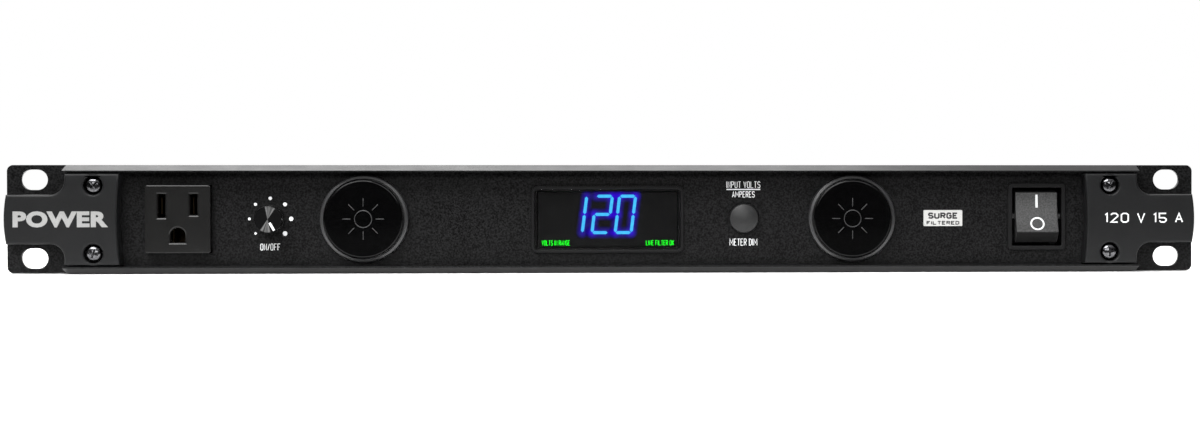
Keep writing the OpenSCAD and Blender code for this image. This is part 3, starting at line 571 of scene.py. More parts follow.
BLACK_PANEL = (0.0070, 0.0070, 0.0072)
M = {
    "panel": coated("panel_paint", BLACK_PANEL, 0.34, grain=0.7, depth=0.05, speckle=0.9, wear=0.1,
                    specular=0.10),
    "sheet": coated("sheet_paint", (0.016, 0.016, 0.0165), 0.52, grain=0.7, depth=0.03, speckle=0.3,
                    wear=0.2),
    "cap": coated("cap_plastic", (0.0098, 0.0100, 0.0104), 0.40, grain=0.22, depth=0.006, speckle=0.2,
                  wear=0.22, specular=0.17),
    "screw": coated("black_screw", (0.11, 0.11, 0.115), 0.17, grain=0.5, depth=0.004, metal=1.0,
                    wear=0.35),
    "zinc": coated("zinc", (0.60, 0.60, 0.57), 0.30, grain=0.8, depth=0.005, speckle=0.12, metal=1.0),
    "outlet": coated("outlet_plastic", (0.0065, 0.0064, 0.0062), 0.25, grain=0.3, depth=0.006,
                     speckle=0.3, wear=0.12, specular=0.3),
    "brass": coated("contact_brass", (0.66, 0.47, 0.20), 0.32, grain=1.0, speckle=0.1, metal=1.0,
                    brushed=(1, 0.1, 1)),
    # Brass darkened almost to black as painted shade, for contacts that sit deep in the front outlet slots.
    "aged_brass": coated("aged_brass", (0.03, 0.021, 0.011), 0.4, grain=1.0, speckle=0.2, metal=1.0),
    "knob": coated("knob_black", (0.004, 0.004, 0.0042), 0.22, grain=0.4, depth=0.003, wear=0.1,
                   specular=0.25),
    "painted_shine_face": turned_face_painted_shine("knob_face_painted_shine"),
    "word": coated("brushed_print", (0.36, 0.36, 0.355), 0.4, grain=0.4, depth=0.004, speckle=0.1,
                   metal=0.3),
    "print": coated("print_white", (0.86, 0.87, 0.88), 0.55, grain=0.25, depth=0.004, speckle=0.08,
                    dust=0.05),
    "steel": coated("shaft_steel", (0.5, 0.5, 0.5), 0.30, grain=0.6, speckle=0.1, metal=1.0,
                    brushed=(1, 0.05, 1)),
    "nylon": coated("control_plastic", (0.06, 0.061, 0.062), 0.42, grain=0.5, depth=0.01, wear=0.1),
    "pcb": circuit("circuit_board", (0.008, 0.06, 0.022), (0.03, 0.13, 0.05)),
    "white_pcb": circuit("lamp_board_white", (0.66, 0.66, 0.62), (0.74, 0.74, 0.70)),
    "ring": coated("lamp_bezel_black", (0.024, 0.024, 0.025), 0.34, grain=0.3, depth=0.004, speckle=0.15,
                   wear=0.2, specular=0.7),
    "gloss": coated("lamp_black", (0.0015, 0.0015, 0.0016), 0.05, grain=0.8, depth=0.001, speckle=0.25,
                    specular=0.2, dust=0.1),
    "icon": coated("lamp_icon", (0.02, 0.02, 0.021), 0.30, grain=0.4, depth=0.003, wear=0.3),
    "tube": coated("tube_black", (0.02, 0.02, 0.021), 0.34, grain=0.5, depth=0.005, metal=0.5,
                   brushed=(1, 0.06, 1), wear=0.25),
    "lens": window_glass("clear_lens", (0.86, 0.88, 0.88), 0.25),
    "meter_frame": coated("meter_frame", (0.0080, 0.0080, 0.0083), 0.32, grain=0.4, depth=0.002,
                          specular=0.15),
    "glass": window_glass("meter_glass", (0.86, 0.86, 0.86), 0.03, 0.12),
    "display": coated("display_black", (0.003, 0.003, 0.0032), 0.6, grain=0.5, speckle=0.3, specular=0.2),
    "button": coated("button_plastic", (0.013, 0.013, 0.0133), 0.42, grain=0.3, depth=0.008, speckle=0.2,
                     wear=0.2, specular=0.4),
    "badge": coated("badge_silver", (0.56, 0.56, 0.545), 0.42, grain=0.3, depth=0.003, speckle=0.06,
                    metal=0.15),
    "ink": coated("badge_ink", (0.012, 0.012, 0.013), 0.5, grain=0.3, depth=0.003),
    "switch": coated("switch_black", (0.005, 0.005, 0.0053), 0.38, grain=0.3, depth=0.006, wear=0.15,
                     specular=0.2),
    # The rocker's up- and down-facing ends carry painted shade.
    "rocker": rocker_plastic_painted_shade("rocker_grey", (0.042, 0.042, 0.042), 0.50, grain=0.55, depth=0.045,
                             speckle=0.45),
    "nickel": coated("jack_nickel", (0.62, 0.62, 0.60), 0.18, grain=0.8, depth=0.003, speckle=0.06,
                     metal=1.0),
    "rubber": coated("cord_rubber", (0.014, 0.014, 0.015), 0.5, grain=0.5, depth=0.02, speckle=0.2,
                     dust=0.25),
    "blade": coated("blade_nickel", (0.58, 0.55, 0.47), 0.28, grain=0.8, depth=0.004, speckle=0.1,
                    metal=1.0, brushed=(0.1, 1, 1)),
    "parts": coated("part_mix", (0.30, 0.21, 0.07), 0.38, grain=1.2, depth=0.01, speckle=0.15),
    "copper": coated("winding_copper", (0.50, 0.17, 0.06), 0.28, grain=0.5, speckle=0.12, metal=0.8),
    "core": laminated("core_steel", (0.30, 0.31, 0.32)),
    "wire": coated("wire_black", (0.02, 0.02, 0.022), 0.45, grain=0.6, speckle=0.15),
    "digit": lit("digit_light", (0.045, 0.52, 1.0), 1.4),
    "green": lit("legend_light", (0.0, 1.0, 0.01), 2.3),
    "halo": halo("digit_halo", (0.05, 0.007, 1.0), 0.55),
}

# Finish of each CAD node that stays in view, and the width of its softened edges in millimetres
CAD_FINISH = {
    "panel": (["front_panel"], 0.35), "sheet": (["chassis_tray", "top_cover"], 0.3),
    "screw": (["cover_screws"], 0.12), "zinc": (["end_cap_nuts", "rear_locknuts", "board_standoffs"], 0.15),
    # The front outlet contacts take the brass with painted shade.
    "aged_brass": (["front_outlet_contacts"], 0.08),
    "brass": (["rear_outlet_contacts", "switch_terminals", "lamp_jack_contact"], 0.08),
    "print": (["dimmer_pointer"], 0.06), "steel": (["dimmer_shaft"], 0.3),
    "nylon": (["dimmer_plunger", "dimmer_body", "left_lamp_carriage", "left_lamp_track",
               "right_lamp_carriage", "right_lamp_track", "lamp_locknuts"], 0.25),
    "pcb": (["dimmer_board", "meter_board", "surge_board"], 0.12),
    "white_pcb": (["left_lamp_board", "right_lamp_board"], 0.12),
    "tube": (["left_lamp_tube", "right_lamp_tube"], 0.2),
    "lens": (["left_lamp_lens", "right_lamp_lens"], 0.15),
    "meter_frame": (["meter_bezel"], 0.3), "display": (["meter_display"], 0.1),
    "switch": (["switch_frame", "breaker_body", "breaker_button", "lamp_switch_frame",
                "lamp_switch_rocker"], 0.3),
    "nickel": (["lamp_jack"], 0.2), "blade": (["plug_blades"], 0.25), "parts": (["board_parts"], 0.5),
    "copper": (["choke_windings"], 0.3), "core": (["transformer"], 0.5), "wire": (["mains_wires"], 0),
}


def dress_cad_nodes():
    for finish, (nodes, bevel) in CAD_FINISH.items():
        for node in nodes:
            dress(node, M[finish], bevel)


# ---- panel and end caps -----------------------------------------------------

def cap_outline():
    """Right end cap from the front: a wide part with a hollow inner edge, and a crowned tongue."""
    low, high = span("right_end_cap")
    wide_z, tongue_z, fillet = high.z, 9.9, 5.8
    inner_x, wide_x, outer_x = 196.1, 216.8, high.x
    dip, crown = inner_x - low.x, 0.9
    steps = 10
    inner = [(inner_x - dip * t * t, wide_z * t) for t in [1 - 2 * i / steps for i in range(steps + 1)]]
    lower = [(wide_x, -wide_z)]
    lower += [(wide_x + fillet * (1 - math.cos(a)), -tongue_z - fillet * (1 - math.sin(a)))
              for a in [math.pi / 2 * i / steps for i in range(steps + 1)]]
    outer = [(outer_x - crown * t * t, tongue_z * t) for t in [2 * i / steps - 1 for i in range(steps + 1)]]
    upper = [(x, -z) for x, z in reversed(lower)]
    return (inner + lower + outer + upper)[::-1]


CAP_SCREW_X, CAP_SCREW_Z, CAP_SCREW_SEAT = 205.5, 13.7, -9.8


def build_end_caps():
    low = span("right_end_cap")[0]
    outline = cap_outline()
    holes = [ring_points(3.8, CAP_SCREW_X, z, 40) for z in (-CAP_SCREW_Z, CAP_SCREW_Z)]
    mesh = plate([outline] + holes, PANEL_FRONT, low.y, 0.9, 4)
    for side, name in ((1, "right"), (-1, "left")):
        shell = cleaned(moved(mesh, Matrix.Diagonal((side, 1, 1, 1))))
        piece(name + "_end_cap_shell", shell, "cap", [name + "_end_cap"])
    piece("left_cap_word", lettering("POWER", -218.2, 0.1, 37.5, 6.5, low.y, 0.12, 0.05, spacing=1.08),
          "word")
    piece("right_cap_rating", label("120 V 15 A", 219.6, 0.2, 32.5, 4.1, low.y, 0.55, 0.05), "print")


def build_cap_screws():
    """Domed heads with a cross recess, on shanks that reach their nuts."""
    tip, seat = span("end_cap_screws")[1].y, CAP_SCREW_SEAT
    head_r, dome, top, shank = 3.3, 1.55, CAP_SCREW_SEAT - 2.2, 1.95
    turns = [math.pi / 2 * i / 8 for i in range(1, 9)]
    profile = [(0, top)] + [(head_r * math.sin(a), top + dome * (1 - math.cos(a))) for a in turns]
    profile += [(head_r, seat - 0.2), (head_r - 0.2, seat), (shank, seat), (shank, tip - 0.4),
                (shank - 0.4, tip), (0, tip)]
    head = lathe(profile, steps=64)
    cross = joined([plate([rectangle(w, h, 0.1)], seat - 0.9, seat - 4, 0.05)
                    for w, h in ((4.0, 0.85), (0.85, 4.0))])
    holder, cutter = placed("screw", head), placed("cross", cross)
    cut = holder.modifiers.new("cross", "BOOLEAN")
    cut.object, cut.operation, cut.solver, cut.use_self = cutter, "DIFFERENCE", "EXACT", True
    one = baked(holder)
    bpy.data.objects.remove(cutter)
    corners = [(-1, -1), (-1, 1), (1, -1), (1, 1)]
    meshes = [moved(one, shift(x * CAP_SCREW_X, 0, z * CAP_SCREW_Z) @ turn_about(20 + 33 * n, "Y"))
              for n, (x, z) in enumerate(corners)]
    piece("end_cap_screw_set", joined(meshes), "screw", ["end_cap_screws"])


def build_legends():
    """Everything printed in white on the front panel, and the badge."""
    knob, button = centre("dimmer_knob"), centre("meter_button")
    y, dial_x, dial_r, text_x = PANEL_FRONT, knob.x - 0.2, 8.36, button.x - 0.2
    meshes = [label("ON/OFF", dial_x, -11.4, 8.05, 2.8, y, 0.27),
              label("INPUT VOLTS", text_x, 13.77, 13.9, 2.8, y, 0.27),
              label("AMPERES", text_x, 9.83, 9.3, 2.56, y, 0.27),
              label("METER DIM", text_x, -9.75, 11.4, 2.9, y, 0.27),
              prism(rectangle(13.9, 0.45, 0.1, text_x, 11.85), y + 0.02, y - 0.04)]
    for i in range(7):
        a = math.radians(225 - 45 * i)
        spot = ring_points(0.5 + 0.075 * i, dial_x + dial_r * math.cos(a), dial_r * math.sin(a), 24)
        meshes.append(prism(spot, y + 0.02, y - 0.04))
    piece("panel_legends", joined(meshes), "print")
    low, high = span("panel_badge")
    mid = (low + high) / 2
    rim = rectangle(high.x - low.x, high.z - low.z, 0.4, mid.x, mid.z)
    piece("badge_plate", plate([rim], y, low.y, 0.08, 2), "badge", ["panel_badge"])
    piece("badge_text", joined([label("SURGE", mid.x, 1.0, 12.4, 2.6, low.y, 0.66, 0.02),
                                label("FILTERED", mid.x, -1.95, 13.6, 1.6, low.y, 0.4, 0.02)]), "ink")


# ---- outlets ----------------------------------------------------------------

def arch(r, z, steps=16):
    """A round-topped opening about the height z, with a flat foot."""
    top = [(r * math.cos(a), z + r * math.sin(a)) for a in [math.pi * i / steps for i in range(steps + 1)]]
    return top + [(-r, z - r), (r, z - r)]


def outlet_mesh():
    """One outlet facing -Y with its panel's face at y 0, and chamfered blade and ground openings."""
    low, high = span("front_outlet_housing")
    clip_reach = 0.7
    w, h = high.x - low.x, high.z - low.z - 2 * clip_reach
    stand, deep = PANEL_FRONT - low.y, high.y - PANEL_FRONT
    blade_x, top, ground_z, chamfer, soft = 6.35, 10.0, -6.5, 0.75, 0.4
    front, wall_back, chamber_back = -stand, -1.5, 17.4
    openings = []
    for x, tall in ((-blade_x, 9.3), (blade_x, 8.3)):
        openings.append([rectangle(2.8 + 2 * grow, tall + 2 * grow, 0.3, x, top - tall / 2, 2)
                         for grow in (chamfer, 0.3, 0, 1.2)])
    openings.append([arch(2.9 + grow, ground_z) for grow in (chamfer, 0.3, 0, 1.3)])
    rim = [rectangle(w - 2 * soft, h - 2 * soft, 0.6), rectangle(w - 0.3 * soft, h - 0.3 * soft, 0.8),
           rectangle(w, h, 0.9), rectangle(w, h, 0.9)]
    parts = [flat([rim[0]] + [o[0] for o in openings], front),
             loft(list(zip(rim, (front, front + 0.3 * soft, front + soft, deep)))), flat([rim[3]], deep)]
    for wide, middle, slot, chamber in openings:
        parts.append(loft([(wide, front), (middle, front + 0.25), (slot, front + chamfer),
                           (slot, wall_back), (chamber, wall_back), (chamber, chamber_back)]))
        parts.append(flat([chamber], chamber_back))
    return cleaned(joined(parts))


def build_outlets():
    outlet = outlet_mesh()
    front = moved(outlet, shift(centre("front_outlet_housing").x, PANEL_FRONT))
    piece("front_outlet_shell", front, "outlet", ["front_outlet_housing"], angle=20)
    turned = turn_about(90, "Y") @ turn_about(180, "Z")
    rear = joined([moved(outlet, shift(x, TRAY_BACK) @ turned) for x in OUTLET_XS])
    piece("rear_outlet_shells", rear, "outlet", ["rear_outlet_housings"], angle=20)


OUTLET_XS = [m["pos_m"][0] / MM for m in frame["record"]["mounts"]
             if m["name"].startswith("rear_outlet_")]


# ---- dimmer, button and meter -----------------------------------------------

def build_dimmer():
    low, high = span("dimmer_knob")
    x, r, front = centre("dimmer_knob").x, (high.x - low.x) / 2, low.y
    face_r, face = r - 0.35, front + 0.3
    hollow_r, hollow_deep = 4.6, 2.8
    skirt = rounded([(hollow_r, high.y), (r, high.y), (r, front + 0.5), (r - 0.2, front), (face_r, front),
                     (face_r, face)], 0.12, 3)
    inside = [(0, high.y - hollow_deep), (hollow_r, high.y - hollow_deep)]
    grip = lathe(inside + skirt + [(0, face)], x, steps=160, flutes=40, flute_depth=0.2,
                 flute_span=(front + 0.7, high.y - 0.1))
    piece("dimmer_grip", cleaned(grip), "knob", ["dimmer_knob"], body="dimmer_knob", angle=28)
    disc = lathe([(0, face + 0.1), (face_r, face + 0.1), (face_r, face - 0.02),
                  (face_r - 0.05, face - 0.05), (0, face - 0.03)], x, steps=96)
    # The face carries painted highlights, which turn with the knob.
    piece("dimmer_face", cleaned(disc), "painted_shine_face", body="dimmer_knob")


def build_button():
    x, front, r = centre("meter_button").x, span("meter_button")[0].y, 6.1
    rise, edge_r, sweep = 1.05, r - 0.45, 8
    dome = [(edge_r * i / sweep, front + rise * (i / sweep) ** 2) for i in range(sweep + 1)]
    rim = rounded([dome[-1], (r, front + 1.7), (r, 0.3)], 0.5, 4)
    flange = [(r, -0.4), (7.4, -0.4), (7.4, 0.8), (1.5, 0.8), (1.5, 2.5), (0, 2.5)]
    piece("meter_button_cap", cleaned(lathe(dome + rim[1:-1] + flange, x)), "button", ["meter_button"],
          body="meter_button")


SEGMENTS = {"1": "bc", "2": "abged", "0": "abcdef"}


def segment_ends(letter, w, h):
    """End points of one of the seven strokes of a digit that is w wide and h tall, about its middle."""
    x, z = w / 2, h / 2
    return {"a": (-x, z, x, z), "b": (x, z, x, 0), "c": (x, 0, x, -z), "d": (x, -z, -x, -z),
            "e": (-x, -z, -x, 0), "f": (-x, 0, -x, z), "g": (-x, 0, x, 0)}[letter]


def stroke_outline(ax, az, bx, bz, w, gap):
    """A stroke with pointed ends, held gap away from its neighbours."""
    along = Vector((bx - ax, bz - az)).normalized()
    side = Vector((-along.y, along.x)) * w / 2
    a, b = Vector((ax, az)) + along * gap, Vector((bx, bz)) - along * gap
    nose = along * w / 2
    corners = [a, a + nose - side, b - nose - side, b, b - nose + side, a + nose + side]
    return [tuple(c) for c in corners]


def glow_patch(ax, az, bx, bz, y, reach, steps=7, round_steps=8):
    """A pill-shaped patch round a stroke, whose glow attribute falls from 1 to 0."""
    along = Vector((bx - ax, bz - az)).normalized()
    heading = math.atan2(along.y, along.x)
    work = bmesh.new()
    glow = work.verts.layers.float.new("glow")
    rings = []
    for k in range(steps + 1):
        r = max(0.02, reach * k / steps)
        ring = []
        for cx, cz, start in ((bx, bz, heading - math.pi / 2), (ax, az, heading + math.pi / 2)):
            for i in range(round_steps + 1):
                a = start + math.pi * i / round_steps
                vert = work.verts.new(((cx + r * math.cos(a)) * MM, y * MM, (cz + r * math.sin(a)) * MM))
                vert[glow] = (1 - k / steps) ** 1.25
                ring.append(vert)
        rings.append(ring)
    count = len(rings[0])
    work.faces.new(rings[0])
    for inner, outer in zip(rings, rings[1:]):
        for i in range(count):
            work.faces.new((inner[i], inner[(i + 1) % count], outer[(i + 1) % count], outer[i]))
    return meshed(work)


def build_meter():
    low, high = span("meter_window")
    mid = (low + high) / 2
    back = high.y
    rim = rectangle(high.x - low.x, high.z - low.z, 1.5, mid.x, mid.z)
    piece("meter_glass", plate([rim], back, low.y, 0.25, 3), "glass", ["meter_window"])
    digit_w, digit_h, thick, lean, centre_z = 6.5, 14.9, 1.25, 0.126, 1.68
    strokes, glows = [], []
    for digit, x in (("1", -12.99), ("2", -2.53), ("0", 6.92)):
        for letter in SEGMENTS[digit]:
            ax, az, bx, bz = segment_ends(letter, digit_w, digit_h)
            ends = (ax + az * lean + x, az + centre_z, bx + bz * lean + x, bz + centre_z)
            strokes.append(stroke_outline(*ends, thick, 0.18))
            glows.append(ends)
    meshes = [prism(outline, back + 0.2, back + 0.1) for outline in strokes]
    piece("meter_digits", joined(meshes), "digit")
    patches = [glow_patch(*g, back + 0.36 - 0.01 * i, 2.7) for i, g in enumerate(glows)]
    piece("meter_glow", joined(patches), "halo", flat_first=False)
    piece("meter_legends", joined([
        label("VOLTS IN RANGE", -21.4, -9.97, 11.5, 2.1, back + 0.2, 0.21, 0.05),
        label("LINE FILTER OK", 21.05, -9.97, 11.5, 2.1, back + 0.2, 0.21, 0.05)]), "green")


# ---- lamps ------------------------------------------------------------------

def build_lamps():
    for lamp in ("left_lamp", "right_lamp"):
        low, high = span(lamp + "_cap")
        x, r, front = centre(lamp + "_cap").x, (high.x - low.x) / 2, low.y
        seat, neck_r = front + 4.5, 13.3
        face = rounded([(0, front), (r, front), (r, seat), (neck_r, seat)], 0.8, 6)
        profile = face + [(neck_r, high.y - 0.3), (neck_r - 0.3, high.y), (0, high.y)]
        piece(lamp + "_pull", cleaned(lathe(profile, x, steps=128)), "gloss", [lamp + "_cap"], body=lamp)
        build_icon(lamp, x, front)
        low, high = span(lamp + "_bezel")
        outer, nose, mouth, bore, sleeve_r = (high.x - low.x) / 2, low.y, 16.25, 14.8, 16.1
        ring = rounded([(mouth, seat + 0.1), (mouth, nose + 0.2), (mouth + 0.15, nose),
                        (outer - 0.35, nose + 0.32), (outer, nose + 1.0), (outer, PANEL_FRONT)], 0.35, 5)
        sleeve = [(sleeve_r, PANEL_FRONT), (sleeve_r, high.y - 0.4), (sleeve_r - 0.3, high.y),
                  (bore, high.y), (bore, seat + 0.1)]
        piece(lamp + "_ring", cleaned(lathe(ring + sleeve, x, closed=True, steps=128)), "ring",
              [lamp + "_bezel"])


def build_icon(lamp, x, y):
    """A plain light sign on the pull: a ring with eight rays, as low ridges."""
    meshes = [plate([ring_points(3.6, x, 0, 64), ring_points(3.25, x, 0, 64)], y, y - 0.09, 0.04, 2)]
    for i in range(8):
        a = math.pi / 4 * i
        c, s = math.cos(a), math.sin(a)
        meshes.append(bar(x + 5.2 * c, 5.2 * s, x + 8.2 * c, 8.2 * s, 0.34, y, 0.09, 0.04))
    piece(lamp + "_icon", joined(meshes), "icon", body=lamp)


# ---- power switch -----------------------------------------------------------

ROCKER_FACE, ROCKER_END, ROCKER_HOLLOW, ROCKER_TILT = 7.2, 8.4, 24.0, 17.0


def rocker_face_y(z):
    """Where the hollowed face of the rocker is at height z, both counted from its axle."""
    middle = -ROCKER_FACE - math.sqrt(ROCKER_HOLLOW ** 2 - ROCKER_END ** 2)
    return middle + math.sqrt(ROCKER_HOLLOW ** 2 - z * z)


def build_rocker():
    """The main rocker, drawn upright about its axle and then tilted to on."""
    pivot = Vector(frame_joint("power_rocker_tilt")["pos_m"]) / MM
    width = 17.4
    face = [ROCKER_END * (1 - i / 12) for i in range(1, 24)]
    side = rounded([(4.4, -3), (4.4, 3), (1.6, 9.6), (-0.6, 11.6), (-ROCKER_FACE, ROCKER_END)], 0.9, 4)[:-1]
    corner = rounded([(-0.6, 11.6), (-ROCKER_FACE, ROCKER_END), (rocker_face_y(6.5), 6.5)], 0.8, 4)[1:-1]
    upper = side[1:] + corner
    lower = [(y, -z) for y, z in upper[::-1]]
    outline = upper + [(rocker_face_y(z), z) for z in face if abs(z) < 7.0] + lower
    tilt = shift(*pivot) @ turn_about(-ROCKER_TILT, "X")
    key = plate([outline], width / 2, -width / 2, 0.5, 4)
    key.transform(tilt @ turn_about(90, "Z"))
    low, high = span("switch_rocker")
    half = (high.x - low.x) / 2
    axle = lathe(rounded([(0, -half), (1.5, -half), (1.5, half), (0, half)], 0.2, 2), steps=32)
    axle.transform(tilt @ turn_about(90, "Z"))
    piece("power_rocker_key", joined([key, axle]), "rocker", ["switch_rocker"], body="power_rocker")
    on_mark = prism(stroke([(0, 2.1 + 0.88 * i) for i in range(7)], 0.95), 0.05, -0.04)
    outer, inner = [ring_points(r, 0, -4.96) for r in (2.95, 2.25)]
    off_mark = loft([(outer, 0.05), (outer, -0.04), (inner, -0.04), (inner, 0.05), (outer, 0.05)])
    marks = joined([on_mark, off_mark])
    for v in marks.vertices:
        v.co.y += rocker_face_y(v.co.z / MM) * MM
    marks.transform(tilt)
    piece("power_rocker_marks", cleaned(marks), "print", body="power_rocker")


def frame_joint(name):
    return next(j for j in frame["joints"] if j["name"] == name)


# ---- cord and plug ----------------------------------------------------------

def tube_along(points, r, resolution=8):
    """A round cord through the points given, smoothly."""
    curve = bpy.data.curves.new("cord", "CURVE")
    curve.dimensions, curve.bevel_depth, curve.bevel_resolution = "3D", r * MM, resolution
    curve.use_fill_caps = True
    spline = curve.splines.new("POLY")
    spline.points.add(len(points) - 1)
    for point, place in zip(spline.points, points):
        point.co = (*(c * MM for c in place), 1)
    return cleaned(baked(curve))


def build_cord():
    plug = span("plug_body")
    x, z = centre("cord_bushing").x, centre("cord_bushing").z
    low = span("power_cord")[0]
    r = 4.6
    coil_r, low_z = 30.0, low.z + r
    cx, cy = x - coil_r, TRAY_BACK + 45
    path = [(x, y, z) for y in (low.y, TRAY_BACK + 10, TRAY_BACK + 25, cy - 12)]
    turns, per_turn = 2.25, 64
    total = int(turns * per_turn)
    for i in range(total + 1):
        t = i / per_turn
        ease = min(1.0, t / 2.0)
        drop = (z - low_z) * (ease * ease * (3 - 2 * ease) * 0.12 + ease * 0.88)
        a = 2 * math.pi * t
        path.append((cx + coil_r * math.cos(a), cy + coil_r * math.sin(a), z - drop))
    plug_z, y = (plug[0].z + plug[1].z) / 2, cy + coil_r
    start, end = cx - 4, plug[1].x + 4
    for i in range(13):
        t = i / 12
        path.append((start + (end - start) * t, y, low_z + (plug_z - low_z) * t * t * (3 - 2 * t)))
    path.append((plug[1].x - 9, y, plug_z))
    piece("power_cord_run", tube_along(path, r), "rubber", ["power_cord"], flat_first=False)
    profile = [(r + 0.05, -5), (8.2, -5), (9, -3.5), (9, 0), (11.4, 0), (11.4, 2.6), (10.6, 3.4),
               (8.2, 3.6)]
    for i in range(5):
        y0, wide = 4.4 + 2.3 * i, 7.9 - 0.32 * i
        profile += [(wide, y0), (wide, y0 + 1.3), (5.6, y0 + 1.5), (5.6, y0 + 2.1)]
    profile = rounded(profile + [(6.3, 15.6), (6.1, 16), (r + 0.05, 16)], 0.2, 2)
    mesh = lathe([(pr, TRAY_BACK + py) for pr, py in profile], x, z, closed=True, steps=64)
    piece("cord_bushing_ribbed", cleaned(mesh), "switch", ["cord_bushing"])
    build_plug(plug, y, plug_z)


def build_plug(plug, y, z):
    """Moulded plug: a grip with ribs and a waist, built from stacked rounded sections."""
    low, high = plug
    length = high.x - low.x
    sections = [(0.0, 24, 22, 2.5), (0.04, 24, 22, 3.5), (0.42, 24, 22, 4.5), (0.5, 20, 19, 5),
                (0.56, 18, 18, 6), (0.72, 17, 17, 7), (0.8, 14, 14, 6.9), (0.84, 14, 14, 6.9),
                (0.86, 12.2, 12.2, 6), (0.89, 12.2, 12.2, 6), (0.91, 13.6, 13.6, 6.7),
                (0.95, 13.6, 13.6, 6.7), (1.0, 11.5, 11.5, 5.6)]
    work = bmesh.new()
    rings = []
    for t, w, h, r in sections:
        rings.append([work.verts.new(((low.x + length * t) * MM, (y + px) * MM, (z + pz) * MM))
                      for px, pz in rectangle(w, h, min(r, w / 2 - 0.05, h / 2 - 0.05), steps=6)])
    count = len(rings[0])
    for a, b in zip(rings, rings[1:]):
        for i in range(count):
            work.faces.new((a[i], a[(i + 1) % count], b[(i + 1) % count], b[i]))
    work.faces.new(rings[0])
    work.faces.new(rings[-1])
    obj = placed("plug", meshed(work, outward=True))
    soft = obj.modifiers.new("soft", "BEVEL")
    soft.width, soft.segments, soft.limit_method, soft.angle_limit = 0.6 * MM, 3, "ANGLE", math.radians(35)
    piece("plug_shell", baked(obj), "rubber", ["plug_body"], angle=40)


def build_rear_legends():
    """Numbers and plain words printed on the rear wall, drawn as if it were a front."""
    row_z, tall, thick = -17.2, 2.4, 0.34
    words = [(str(i + 1), x, 1.5 if i else 0.75) for i, x in enumerate(sorted(OUTLET_XS, reverse=True))]
    words += [("RESET", centre("breaker_button").x, 7.4), ("LAMP", centre("lamp_jack").x, 6.2),
              ("ON/OFF", centre("lamp_switch_frame").x, 8.6)]
    mesh = joined([label(word, -x, row_z, wide, tall, 0.0, thick) for word, x, wide in words])
    mesh.transform(shift(y=TRAY_BACK) @ turn_about(180, "Z"))
    piece("rear_legends", mesh, "print")


# ---- studio -----------------------------------------------------------------

def build_studio():
    """A white floor under four soft lights. Reflected, it glows beneath the object and is dark in front."""
    ground = cad_box[0].z - 0.0002
    bpy.ops.mesh.primitive_circle_add(vertices=64, radius=40, fill_type="NGON", location=(0, 0, ground))
    floor = bpy.context.object
    floor.name = "studio_floor"
    f = Finish("studio_floor")
    path = f.node("ShaderNodeLightPath").outputs["Is Camera Ray"]
    away = f.node("ShaderNodeVectorMath", {0: f.place}, operation="LENGTH").outputs["Value"]
    far = f.ranged(away, 0.45, 1.0, soft=True)
    depth = f.node("ShaderNodeSeparateXYZ", {"Vector": f.place}).outputs["Y"]
    near = f.mixed(f.ranged(depth, -0.10, -0.035, 0, 1), (0.04, 0.04, 0.04), (0.85, 0.85, 0.85))
    tone = f.mixed(path, near, (0.88, 0.88, 0.88))
    f.set(Base_Color=tone, Roughness=0.9, Specular_IOR_Level=0.0)
    under = f.maths("MULTIPLY", f.ranged(depth, -0.10, -0.035, 0, 0.32), f.ranged(path, 0, 1, 1, 0))
    f.set(Emission_Color=(1, 1, 1), Emission_Strength=under)
    white = f.node("ShaderNodeEmission", {"Color": (1, 1, 1), "Strength": f.ranged(path, 0, 1, 0.01, 1.0)})
    floor.data.materials.append(
        f.ending("ShaderNodeMixShader", {0: far, 1: f.surface.outputs[0], 2: white.outputs[0]}))
    build_world()
    add_light("key", (-0.55, -1.0, 1.15), (1.2, 0.6), 27.5)
    add_light("front_fill", (-0.1, -1.5, 0.42), (1.2, 0.3), 7)
    add_light("top", (0.0, 0.10, 1.3), (1.4, 0.6), 24)
    add_light("back_fill", (-0.2, 1.5, 0.9), (0.95, 0.5), 3.6)
    scene = bpy.context.scene
    scene.view_settings.view_transform = "Standard"
    scene.view_settings.look = "None"


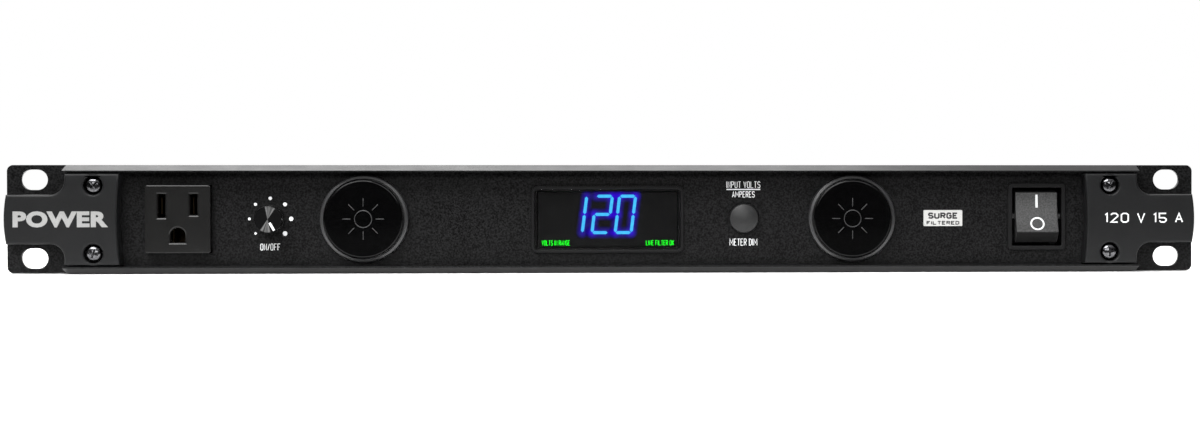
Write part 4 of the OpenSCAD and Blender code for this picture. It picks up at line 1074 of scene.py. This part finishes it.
def build_world():
    """White to the camera. To the rest, bright overhead and at the back left, and dark in front."""
    world = bpy.data.worlds.new("studio")
    bpy.context.scene.world = world
    world.use_nodes = True
    w = Nodes(world.node_tree)
    way = w.node("ShaderNodeTexCoord").outputs["Generated"]
    axes = w.node("ShaderNodeSeparateXYZ", {"Vector": way}).outputs
    high = w.ranged(axes["Z"], 0.25, 0.8, 0.015, 0.9, soft=True)
    left = w.ranged(axes["X"], 0.22, -0.14, 0.12, 1.3)
    behind = w.ranged(axes["Y"], 0.1, 0.85, soft=True)
    total = w.maths("ADD", high, w.maths("MULTIPLY", left, behind))
    camera = w.node("ShaderNodeLightPath").outputs["Is Camera Ray"]
    shown = w.node("ShaderNodeMix", {0: camera, 2: total, 3: 1.0}, data_type="FLOAT").outputs[0]
    sky = w.tree.nodes["Background"].inputs
    w.feed(sky["Strength"], shown)
    w.feed(sky["Color"], (1, 1, 1))


def add_light(name, place, size, power):
    data = bpy.data.lights.new(name, "AREA")
    data.shape, data.size, data.size_y, data.energy = "RECTANGLE", size[0], size[1], power
    light = placed(name, data)
    light.location = place
    light.rotation_euler = (Vector((0, 0.05, 0)) - Vector(place)).to_track_quat("-Z", "Y").to_euler()


def build_camera():
    """Level with the panel, a little right of its middle, with the lens shifted as in the photograph."""
    data = bpy.data.cameras.new("camera")
    data.sensor_width, data.lens, data.shift_x = 36, 80.2, -0.1975
    data.clip_start, data.clip_end = 0.05, 100
    camera = placed("camera", data)
    camera.location = (0.017, -1.1, 0.020)
    yaw, pitch = math.radians(4.0), math.radians(-1.07)
    aim = Vector((math.sin(yaw) * math.cos(pitch), math.cos(yaw) * math.cos(pitch), math.sin(pitch)))
    camera.rotation_euler = aim.to_track_quat("-Z", "Y").to_euler()
    bpy.context.scene.camera = camera


dress_cad_nodes()
build_end_caps()
build_cap_screws()
build_legends()
build_outlets()
build_dimmer()
build_button()
build_meter()
build_lamps()
build_rocker()
build_cord()
build_rear_legends()
build_studio()
build_camera()
